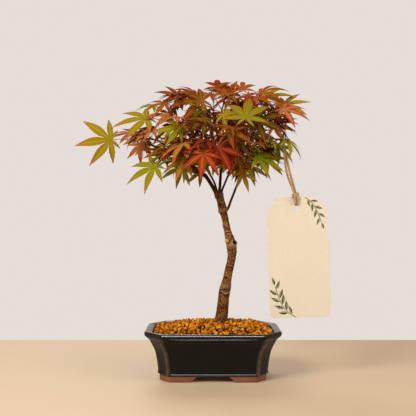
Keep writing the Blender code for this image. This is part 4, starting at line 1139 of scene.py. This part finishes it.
def blade(length, frame, guard=0.0):
    """A blade by itself, or swollen on all sides by guard to test the room that it needs."""
    rim = blade_rim(length * (1.03 if guard else 1.0))
    half = LEAF_THICK / 2 + guard
    lift = Vector((0, 0, guard))
    count = len(rim)
    points = [Vector((0, 0, half)), Vector((0, 0, -half))]
    points += [p + lift for p in rim] + [p - lift for p in rim]
    faces = []
    for i in range(count):
        j = (i + 1) % count
        top, under = 2, 2 + count
        faces += [(0, top + i, top + j), (1, under + j, under + i),
                  (top + i, under + i, under + j, top + j)]
    return [frame @ p for p in points], faces


def facing(place, along, face):
    """A frame at place with +X along the middle lobe and +Z out of the upper face."""
    x = along.normalized()
    z = (face - x * face.dot(x)).normalized()
    y = z.cross(x)
    frame = Matrix((x, y, z)).transposed().to_4x4()
    frame.translation = place
    return frame


class Thicket:
    """The solids placed so far, asked whether a new one would touch them."""

    def __init__(self):
        self.placed = []

    def add(self, owner, kind, verts, faces):
        """Keeps a solid of a spray's wood or leaves, with its box."""
        low = Vector(min(v[k] for v in verts) for k in range(3))
        high = Vector(max(v[k] for v in verts) for k in range(3))
        self.placed.append((owner, kind, BVHTree.FromPolygons(verts, faces), low, high))

    def touches(self, owner, kind, verts, faces):
        """True where the shape meets a foreign solid, or a leaf of its own spray."""
        low = [min(v[k] for v in verts) for k in range(3)]
        high = [max(v[k] for v in verts) for k in range(3)]
        tree = BVHTree.FromPolygons(verts, faces)
        for other, sort, solid, bottom, top in self.placed:
            if other == owner and kind == "wood" and sort == "wood":
                continue
            if any(low[k] > top[k] or high[k] < bottom[k] for k in range(3)):
                continue
            if tree.overlap(solid):
                return True
        return False


def seen(point):
    """Where a point shows, from the front, on the upright plane through the trunk."""
    eye = Vector(EYE)
    share = -eye.y / (point.y - eye.y)
    return eye.x + (point.x - eye.x) * share, eye.z + (point.z - eye.z) * share


def hides_sky(verts):
    """True where a leaf would cover a gap that stays open."""
    spots = [seen(v) for v in verts]
    return any(math.hypot(x - gx, z - gz) < r for x, z in spots for gx, gz, r in SKY_GAPS)


def in_crown(point):
    """True inside the crown's rounded space."""
    share = [(point[k] - CROWN_MIDDLE[k]) / CROWN_HALF[k] for k in range(3)]
    return sum(s * s for s in share) <= 1.0


def bent(start, end, sag, dice, wild):
    """Three points of a stalk or twig from start to end, bowed upwards by sag."""
    middle = start.lerp(end, 0.5) + Vector((0, 0, sag))
    middle += Vector(dice.uniform(-wild, wild) for k in range(3))
    return [start, middle, end]


class Spray:
    """One mass of foliage: a stem, twigs and leaves that keep to their own space."""

    def __init__(self, row, thicket, dice):
        self.name, self.mood, self.bough, self.share, hub, self.reach, self.fill, self.leads = row
        self.hub = Vector(hub)
        self.thicket, self.dice = thicket, dice
        self.nodes = []
        self.twigs = []          # middle line and radii of each length of wood
        self.leaves = []         # frame, length, stalk's path, tint, teeth on a lobe's edge

    def grow_wood(self, start, end, thick, thin, steps=1, tries=40):
        """A twig from start to end that misses everything foreign, or nothing."""
        for attempt in range(tries):
            line = smooth_line(bent(start, end, 1.5, self.dice, 0.5 + attempt * 0.35), steps)
            radii = [thick + (thin - thick) * i / (len(line) - 1) for i in range(len(line))]
            twig = tube(line, radii, 3)
            guard = tube(line[1:], [r + GUARD for r in radii[1:]], 6)
            if not any(self.thicket.touches(self.name, "wood", *t) for t in (twig, guard)):
                self.twigs.append((line, radii))
                self.thicket.add(self.name, "wood", *twig)
                return line
        return None

    def grow_stem(self):
        """The stem, from beside its bough to the fork of the twigs."""
        line, radii = bough_line(self.bough)
        place = self.share * (len(line) - 1)
        i = min(int(place), len(line) - 2)
        spot = line[i].lerp(line[i + 1], place - i)
        radius = radii[i]
        along = (line[i + 1] - line[i]).normalized()
        way = self.hub - spot
        out = (way - along * way.dot(along)).normalized()
        leave, stand = (along, 0.0) if self.share == 1.0 else (out, radius)
        stand += CLEAR + STEM_RADIUS * leave.cross(way.normalized()).length
        start = spot + leave * stand
        stem = self.grow_wood(start, self.hub, STEM_RADIUS, TWIG_RADIUS, 2)
        self.nodes += stem[2:] if stem else []
        if stem:                 # the stem grows out of the bough's own wood
            self.twigs[0] = ([spot - along * 1.5] + stem, [STEM_RADIUS] + self.twigs[0][1])
        return bool(stem)

    def grow_leaf(self, node, frame, length, tries, tint=None):
        """A stalk with its blade, kept only where both have room."""
        if self.thicket.touches(self.name, "leaf", *blade(length, frame, GUARD)):
            return False
        heel = frame.translation - frame.to_3x3() @ Vector((HEEL * length + 1.6, 0, 0.3))
        for attempt in range(tries):
            middle = node.lerp(heel, 0.5) + Vector((0, 0, 1))
            middle += Vector(self.dice.uniform(-1, 1) for k in range(3)) * (1 + attempt)
            path = (node, middle, heel)
            guard = tube((node.lerp(middle, 0.25), middle, heel), (STALK_RADIUS + GUARD,) * 3, 6)
            if not self.thicket.touches(self.name, "wood", *guard):
                self.leaves.append((frame, length, path, tint, LEAD_TEETH))
                self.thicket.add(self.name, "leaf", *blade(length, frame))
                self.thicket.add(self.name, "wood", *tube(path, (STALK_RADIUS,) * 3, 4))
                return True
        return False

    def grow_lead(self, place, turn, lean, roll, length, tint):
        """A leading leaf at its own place, with a twig of its own where it is far out."""
        front = Vector((0, 1 if place[1] > 25 else -1, 0))
        turn, lean, roll = (math.radians(v) for v in (turn, lean, roll))
        along = Vector((math.cos(turn), 0, math.sin(turn))) * math.cos(lean)
        along += front * math.sin(lean)
        face = front * math.cos(roll) + Vector((0, 0, math.sin(roll)))
        along += face * LEAF_DROOP          # so that the drooping lobe's tip lies on its line
        for attempt in range(LEAD_TRIES):
            nudge = Vector(self.dice.uniform(-1, 1) * way for way in (0.15, 0.8, 0.15))
            spot = Vector(place) + nudge * attempt
            near = sorted(self.nodes, key=lambda n: (n - spot).length)
            node = near[attempt % min(3, len(near))]
            reach = spot - node
            if reach.length > STALK_LENGTH[1]:
                end = spot - reach.normalized() * STALK_LENGTH[1] * 0.8
                twig = self.grow_wood(node, end, TWIG_RADIUS, STALK_RADIUS)
                if twig:
                    self.nodes += twig[1:]
                    node = twig[-1]
            if self.grow_leaf(node, facing(spot, along, face), length, 10, tint):
                return True
        return False

    def holds(self, place, tip):
        """True where a leaf from place to tip stays in this spray's reach and in the crown."""
        return (place - self.hub).length <= self.reach and in_crown(tip) and in_crown(place)

    def grow_by_rule(self):
        """One more leaf from a twig of this spray, or none where it finds no room."""
        dice = self.dice
        node = dice.choice(self.nodes)
        away = Vector((node.x - CROWN_MIDDLE[0], node.y - CROWN_MIDDLE[1], 0)).normalized()
        turn = Matrix.Rotation(math.radians(dice.uniform(*LEAF_TURN)), 3, "Z")
        rise = math.radians(dice.uniform(*LEAF_RISE))
        way = (turn @ away) * math.cos(rise) + Vector((0, 0, math.sin(rise)))
        place = node + way * dice.uniform(*STALK_LENGTH)
        length = dice.uniform(*BLADE_LENGTH)
        stir = [Vector(dice.uniform(-1, 1) for k in range(3)) for n in range(2)]
        along = way + away * 0.4 + Vector((0, 0, -0.5)) + stir[0] * 0.35
        face = away * 0.5 + Vector((0, 0, 0.85)) + stir[1] * 0.35
        frame = facing(place, along, face)
        if not self.holds(place, frame @ Vector((length, 0, 0))):
            return False
        if hides_sky(blade(length, frame)[0]):
            return False
        return self.grow_leaf(node, frame, length, 4)

    def grow_fine(self, dice):
        """A small leaf, some on a fine twig of their own, in the room that is left."""
        node = dice.choice(self.nodes)
        away = Vector((node.x - CROWN_MIDDLE[0], node.y - CROWN_MIDDLE[1], 0)).normalized()
        way = Vector([dice.gauss(0, 1) for k in range(3)]).normalized() + away * 0.3
        way.z += 0.15
        way.normalize()
        place = node + way * dice.uniform(*FINE_STALK)
        length = dice.uniform(*FINE_BLADE)
        stir = [Vector([dice.uniform(-1, 1) for k in range(3)]) for n in range(2)]
        along = way + away * 0.4 + Vector((0, 0, -0.5)) + stir[0] * 0.5
        face = away * 0.4 + Vector((0, -0.2, 0.85)) + stir[1] * 0.4
        frame = facing(place, along, face)
        if not self.holds(place, frame @ Vector((length, 0, 0))):
            return False
        shape = blade(length, frame)
        if hides_sky(shape[0]) or self.thicket.touches(self.name, "leaf", *shape):
            return False
        heel = frame.translation - frame.to_3x3() @ Vector((HEEL * length + 0.8, 0, 0.3))
        for attempt in range(3):
            middle = node.lerp(heel, 0.5) + Vector([dice.uniform(-1, 1) for k in range(3)])
            path = (node, middle, heel)
            stalk = tube((node.lerp(middle, 0.3), middle, heel), (FINE_TWIG_RADII[-1],) * 3, 4)
            if not self.thicket.touches(self.name, "wood", *stalk):
                self.leaves.append((frame, length, path, None, FINE_TEETH))
                self.thicket.add(self.name, "leaf", *shape)
                self.thicket.add(self.name, "wood", *stalk)
                if dice.random() < FINE_TWIGS:
                    fork = middle.lerp(heel, 0.3)
                    self.twigs.append(([node, middle, fork], FINE_TWIG_RADII))
                    self.nodes.append(fork)
                return True
        return False


thicket = Thicket()
for name in BOUGHS:
    thicket.add(name, "wood", *bough_tube(name))
thicket.add("twine_loop", "wood", *tube(loop, (TWINE_RADIUS,) * len(loop), 6, closed=True))
dice = random.Random(SEED)
sprays = [Spray(row, thicket, dice) for row in SPRAYS]
sprays = [spray for spray in sprays if spray.grow_stem()]
for spray in sprays:
    for lead in spray.leads:
        spray.grow_lead(*lead)
for turn in range(FILL_ROUNDS):
    for spray in sprays:
        if spray.fill > 0 and spray.grow_by_rule():
            spray.fill -= 1
fine_dice = random.Random(FINE_SEED)
for turn in range(FINE_ROUNDS):
    for spray in sprays:
        if sum(leaf[-1] == FINE_TEETH for leaf in spray.leaves) < FINE_LEAVES:
            spray.grow_fine(fine_dice)

# Blades. Each lobe is folded up a little from its vein, drawn out to a long tip and edged with
# forward teeth. A small leaf has few teeth and no raised vein.
BLADE_SEED = 5
BLADE_THICK = (0.32, 0.0125)     # the least, and as a share of the blade's length
BLADE_FOLD = (0.12, 0.38)        # how steeply a lobe's halves rise from its vein
BLADE_DROOP = (0.75, 1.35)       # shares of the source's droop
BLADE_CURL = (0.0, 0.5)          # of the lobes' outer halves
LOBE_TURN = 4                # degrees that a lobe may turn aside
LOBE_LONG = (0.99, 1.07)
LOBE_SWEEP = 0.05            # how far its tip may bend aside
TOOTH = 0.0105               # how far a tooth stands out, as a share of the blade's length
FIRST_TOOTH = 0.36
LAST_TOOTH = 0.93
FULLER = 1.1                 # a real lobe bellies out between the source's few corners
POINT_FULLER = 1.2           # and so do the two small ones
BELLY = 0.85                 # how far its sides bulge on the way to the tip
VEIN_HALF = (0.28, 0.3)      # the most, and as a share of the lobe's half width
ZONES = ("heart", "margin", "tip", "vein", "underside")
HEART, MARGIN, TIP, VEIN, UNDERSIDE = range(len(ZONES))
MARGIN_FROM = 0.58           # along a lobe
TIP_FROM = 0.74


def fine_blade(length, teeth, dice):
    """A blade's points, faces and the zone of each face; middle lobe along +X, face along +Z."""
    rich = teeth == LEAD_TEETH
    thick = max(BLADE_THICK[0], length * BLADE_THICK[1])
    fold = dice.uniform(*BLADE_FOLD)
    droop = LEAF_DROOP * dice.uniform(*BLADE_DROOP)
    curl = dice.uniform(*BLADE_CURL)
    lobes = []
    for angle, share in LOBES:
        turn = math.radians(angle + dice.uniform(-LOBE_TURN, LOBE_TURN))
        lobes.append((turn, share * dice.uniform(*LOBE_LONG), dice.uniform(-LOBE_SWEEP, LOBE_SWEEP)))
    verts, faces, zones = [], [], []

    def add(x, y, lift):
        verts.append(Vector((x, y, lift - droop * (x * x + y * y) / length)))
        return len(verts) - 1

    def cover(zone, *sides):
        faces.extend(sides)
        zones.extend([zone] * len(sides))

    middle = add(0, 0, thick / 2), add(0, 0, -thick / 2)
    edges = [add(-HEEL * length, -HEEL_HALF_WIDTH, 0)]
    for (a, short, s), (b, other, t) in zip(lobes, lobes[1:]):
        reach = NOTCH * min(short, other) ** 0.7 * length
        turn = (a + b) / 2
        edges.append(add(math.cos(turn) * reach, math.sin(turn) * reach,
                         fold * reach * math.sin(abs(b - a) / 2) * 0.6))
    edges.append(add(-HEEL * length, HEEL_HALF_WIDTH, 0))

    for (angle, share, sweep), right, left in zip(lobes, edges, edges[1:]):
        far = share * length
        ahead = Vector((math.cos(angle), math.sin(angle)))
        side = Vector((-ahead.y, ahead.x))
        starts = []
        for corner in (right, left):
            spot = verts[corner].xy
            starts.append((max(0.0, spot.dot(ahead)) / far, abs(spot.dot(side))))
        full = LOBE_HALF_WIDTH * far * (FULLER if share > LOBE_SMALL else POINT_FULLER)
        count = teeth if share > LOBE_SMALL else max(2, teeth // 2)
        marks = [((starts[0][0] + starts[1][0]) / 2, 0.0)]
        gap = (LAST_TOOTH - FIRST_TOOTH) / (count - 1)
        for k in range(count):           # each tooth is a point and the notch just after it
            marks.append((FIRST_TOOTH + gap * k, TOOTH * length))
            marks.append((FIRST_TOOTH + gap * (k + 0.2), -TOOTH * length * 0.4))
        rows = []
        for n, (t, tooth) in enumerate(marks):
            tail = max(0.0, (t - LOBE_WIDEST) / (1 - LOBE_WIDEST))
            halves = []
            for start, width in starts:
                if t > LOBE_WIDEST:
                    half = full * (1 - tail) * (1 + BELLY * tail * (1 - tail))
                else:
                    rise = max(0.0, (t - start) / (LOBE_WIDEST - start))
                    half = width + (full - width) * rise * (2 - rise)
                halves.append(max(0.12, half + tooth * (1 - 0.45 * tail)))
            vein = min(VEIN_HALF[0], VEIN_HALF[1] * halves[0])
            reach = far * t
            bow = sweep * far * t * t
            drop = -curl * far * max(0.0, t - 0.5) ** 2

            def at(across, lift):
                x, y = ahead * (reach + 0.1 * tooth) + side * (across + bow)
                return add(x, y, lift + drop + fold * abs(across))

            row = [right if n == 0 else at(-halves[0], 0)]
            if rich:
                row += [at(-halves[0] * 0.52, thick * 0.4), at(-vein, thick / 2),
                        at(vein, thick / 2), at(halves[1] * 0.52, thick * 0.4)]
            else:
                row.append(at(0, thick / 2))
            row.append(left if n == 0 else at(halves[1], 0))
            rows.append((t, row, at(0, -thick / 2)))
        point = add(*(ahead * far + side * sweep * far), -curl * far * 0.25)
        spans = range(len(rows[0][1]) - 1)
        t, row, under = rows[0]
        for c in spans:
            cover(VEIN if rich and c == 2 else HEART, (middle[0], row[c], row[c + 1]))
        cover(UNDERSIDE, (middle[1], under, row[0]), (middle[1], row[-1], under))
        for (t, row, under), later in zip(rows, rows[1:]):
            above, beyond = later[1:]
            for c in spans:
                outer = rich and c in (0, spans[-1])
                zone = TIP if t > TIP_FROM else MARGIN if outer or t > MARGIN_FROM else HEART
                cover(VEIN if rich and c == 2 else zone,
                      (row[c], above[c], above[c + 1], row[c + 1]))
            cover(UNDERSIDE, (row[0], under, beyond, above[0]), (under, row[-1], above[-1], beyond))
        t, row, under = rows[-1]
        cover(TIP, *((row[c], point, row[c + 1]) for c in spans))
        cover(UNDERSIDE, (row[0], under, point), (under, row[-1], point))
    cover(HEART, (middle[0], edges[-1], edges[0]))
    cover(UNDERSIDE, (middle[1], edges[0], edges[-1]))
    return verts, faces, zones


# Thin living leaf: matt, so that its colour stays full from all sides, puckered every 2 mm, and
# paler and duller underneath.
leaf_tints = {}
for tint, codes in TINTS.items():
    for zone, code in zip(ZONES, codes):
        made, tree, shader = new_material(f"living_leaf_{tint}_{zone}", code, IOR=1.42,
                                          Specular_IOR_Level=0.0,
                                          Roughness=0.75 if zone == "underside" else 0.5)
        where = node(tree, "TexCoord").outputs["Object"]
        quilt = node(tree, "TexNoise", {"Vector": where, "Scale": spaced(1.92), "Detail": 2.0})
        puckered = node(tree, "Bump", {"Height": quilt, "Strength": 0.35, "Distance": 0.6 * MM})
        feed(shader, {"Normal": puckered})
        leaf_tints[tint, zone] = made

STALK_THICK = {LEAD_TEETH: 0.5, FINE_TEETH: 0.36}
STALK_FOOT = 1.25            # a stalk is thicker where it leaves the twig
TWIG_NODE = 1.18             # and a twig at each bend
DEEP_INSIDE = (0.1, 0.55)    # leaves nearer the crown's middle than this get one of the darker tints, as painted shade
GREEN_STALKED = ("lime", "gold", "green")
dice = random.Random(BLADE_SEED)
stalks = {"red": [], "green": []}
wood_solids = []
for spray in sprays:
    verts, faces, indices, used = [], [], [], []
    mood = MOODS[spray.mood]
    for frame_at, length, path, tint, teeth in spray.leaves:
        if tint is None:
            # Leaves deep in the crown get a darker tint: painted shade.
            off = [(frame_at.translation[k] - CROWN_MIDDLE[k]) / CROWN_HALF[k] for k in range(3)]
            deep = sum(v * v for v in off) < dice.uniform(*DEEP_INSIDE)
            tint = dice.choice(PAINTED_SHADE_TINTS) if deep else dice.choices(mood, range(len(mood), 0, -1))[0]
        points, sides, zones = fine_blade(length, teeth, dice)
        faces += [[k + len(verts) for k in side] for side in sides]
        verts += [frame_at @ p for p in points]
        for zone in zones:
            key = tint, ZONES[zone]
            if key not in used:
                used.append(key)
            indices.append(used.index(key))
        line_at = smooth_line([*path, frame_at @ Vector((0, 0, -0.25))], 3)
        thick = [STALK_THICK[teeth] * (STALK_FOOT if n < 2 else 1.0) for n in range(len(line_at))]
        stalks["green" if tint in GREEN_STALKED else "red"].append(tube(line_at, thick, 5))
    piece = add_piece(spray.name.replace("spray", "leaves"), verts, faces,
                      [leaf_tints[key] for key in used], "maple_leaves", 24, indices)
    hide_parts(spray.name)
    for line_at, radii in spray.twigs:
        fine_line = smooth_line(line_at, 3)
        fine_radii = [v.x for v in smooth_line([(r, 0, 0) for r in radii], 3)]
        thick = [r * (TWIG_NODE if n % 3 == 0 else 1.0) for n, r in enumerate(fine_radii)]
        wood_solids.append(tube(fine_line, thick, 7))

# Leaf stalks: smooth and wiry, wine red on the coloured leaves and yellow-green on the green ones.
for colour, code in (("red", "#A8402C"), ("green", "#A8AC34")):
    made = new_material(f"leaf_stalk_{colour}", code, Roughness=0.4, IOR=1.42)[0]
    add_piece(f"leaf_stalks_{colour}", *join_all(stalks[colour]), (made,), "maple_leaves", 60)

# Twigs: last year's wood, dark wine brown with a thin waxy skin and a paler freckle each 1.3 mm.
shoot, tree, shader = new_material("young_shoot_bark", Roughness=0.5, IOR=1.45)
where = node(tree, "TexCoord").outputs["Object"]
freckle = node(tree, "TexNoise", {"Vector": where, "Scale": spaced(1.25), "Detail": 2.0})
tone = node(tree, "ValToRGB", {"Fac": freckle}, ((0.4, "#3A1810"), (0.72, "#6E3A26")))
feed(shader, {"Base Color": tone})
add_piece("twigs", *join_all(wood_solids), (shoot,), "young_bark", 60)

# ---------------------------------------------------------------------------------------------
# Hang tag. Uncoated cream card, die-cut with clipped top corners and one hole, and printed with
# two plain sprigs in dark green and sage. It carries no words.
# ---------------------------------------------------------------------------------------------
TAG_THICK = 0.6
TAG_TILT = math.radians(2.2)
INK_THICK = 0.1
INK_SUNK = 0.1
SPRIGS = (                   # stem from its foot to its tip, on the card; leaves; longest leaf
    (((9.5, 10.4), (16.0, 5.0), (21.5, -4.0), (26.0, -17.0)), 8, 8.8),
    (((-5.5, -119.4), (-15.0, -112.5), (-22.0, -101.0), (-27.0, -85.0)), 10, 11.0))
SPRIG_STEM = 0.32            # half its width
SPRIG_SPREAD = math.radians(38)
SPRIG_BARE = 0.14            # share of the stem under the first leaf
SPRIG_LEAF_RIBS = (0.12, 0.3, 0.48, 0.66, 0.84)
SPRIG_LEAF_HALF = 0.17       # half a leaf's width, as a share of its length
INKS = (("dark_green", "#363E26", "#545838"), ("sage", "#7A7648", "#A69E6C"))

# Uncoated card: dull warm cream. Its short fibres are drawn 1.4 mm apart, coarser than real ones.
card, tree, shader = new_material("uncoated_card", Roughness=0.88, IOR=1.45)
where = node(tree, "TexCoord").outputs["Object"]
fibres = node(tree, "TexNoise", {"Vector": where, "Scale": spaced(1.43), "Detail": 5.0,
                                 "Roughness": 0.7})
tone = node(tree, "ValToRGB", {"Fac": fibres}, ((0.3, "#E2D0B4"), (0.7, "#EADCC6")))
pressed = node(tree, "Bump", {"Height": fibres, "Strength": 0.25, "Distance": 0.3 * MM})
feed(shader, {"Base Color": tone, "Normal": pressed})
tag = frame["nodes"]["hang_tag"]
if tag.material_slots:
    for holder in tag.material_slots:
        holder.material = card
else:
    tag.data.materials.append(card)


def on_card(u, v, over):
    """A place on the card's face; u to the right of the hole, v above it."""
    flat = Vector((u, -TAG_THICK / 2 - over, v))
    return Vector(TAG_HOLE) + Matrix.Rotation(-TAG_TILT, 3, "Y") @ flat


def print_shape(outline, tone, shapes):
    """Adds a closed film of ink with this outline, half sunk into the card."""
    verts = [on_card(u, v, over) for over in (INK_THICK, -INK_SUNK) for u, v in outline]
    count = len(outline)
    faces = [tuple(range(count)), tuple(range(2 * count - 1, count - 1, -1))]
    faces += [(k, k + count, (k + 1) % count + count, (k + 1) % count) for k in range(count)]
    shapes.append((verts, faces, tone))


shapes = []
for stem, leaves, longest in SPRIGS:
    line_at = smooth_line([(u, v, 0) for u, v in stem], 8)
    last = len(line_at) - 1
    for a, b in zip(line_at, line_at[1:]):
        side = (b - a).normalized().cross(Vector((0, 0, 1))) * SPRIG_STEM
        print_shape([(p.x, p.y) for p in (a - side, a + side, b + side, b - side)], 0, shapes)
    for k in range(leaves):
        top = k == leaves - 1
        share = SPRIG_BARE + (1 - SPRIG_BARE) * k / (leaves - 1)
        foot = min(last, round(share * last))
        spot = line_at[foot]
        ahead = line_at[last] - line_at[last - 1] if top else line_at[min(last, foot + 1)] - spot
        turn = 0.0 if top else SPRIG_SPREAD * (1 if k % 2 else -1)
        way = Matrix.Rotation(turn, 3, "Z") @ ahead.normalized()
        across = Vector((-way.y, way.x, 0))
        length = longest * (0.72 + 0.28 * math.sin(math.pi * (0.15 + 0.7 * share)))
        halves = [SPRIG_LEAF_HALF * length * math.sin(math.pi * t ** 0.8) ** 1.1
                  for t in SPRIG_LEAF_RIBS]
        start = spot + way * length * SPRIG_LEAF_RIBS[0]
        for sign, ink in ((1, 0), (-1, 1)):      # one half of a leaf is darker than the other
            edge = [start + way * length * t + across * sign * half
                    for t, half in zip(SPRIG_LEAF_RIBS, halves)]
            ends = [start] + edge + [start + way * length]
            print_shape([(p.x, p.y) for p in (ends if sign < 0 else ends[::-1])],
                        ink if k % 3 else 1 - ink, shapes)

# Printing ink on uncoated card: dull, a little uneven in patches of 2.4 mm where the card drank it.
inks = []
for ink_name, low, high in INKS:
    made, tree, shader = new_material("printed_ink_" + ink_name, Roughness=0.8, IOR=1.45)
    where = node(tree, "TexCoord").outputs["Object"]
    wash = node(tree, "TexNoise", {"Vector": where, "Scale": spaced(2.38), "Detail": 3.0})
    tone = node(tree, "ValToRGB", {"Fac": wash}, ((0.36, low), (0.64, high)))
    feed(shader, {"Base Color": tone})
    inks.append(made)
verts, faces = join_all([shape[:2] for shape in shapes])
tones = [ink for points, sides, ink in shapes for side in sides]
add_piece("printed_sprigs", verts, faces, inks, "card", 40, tones)
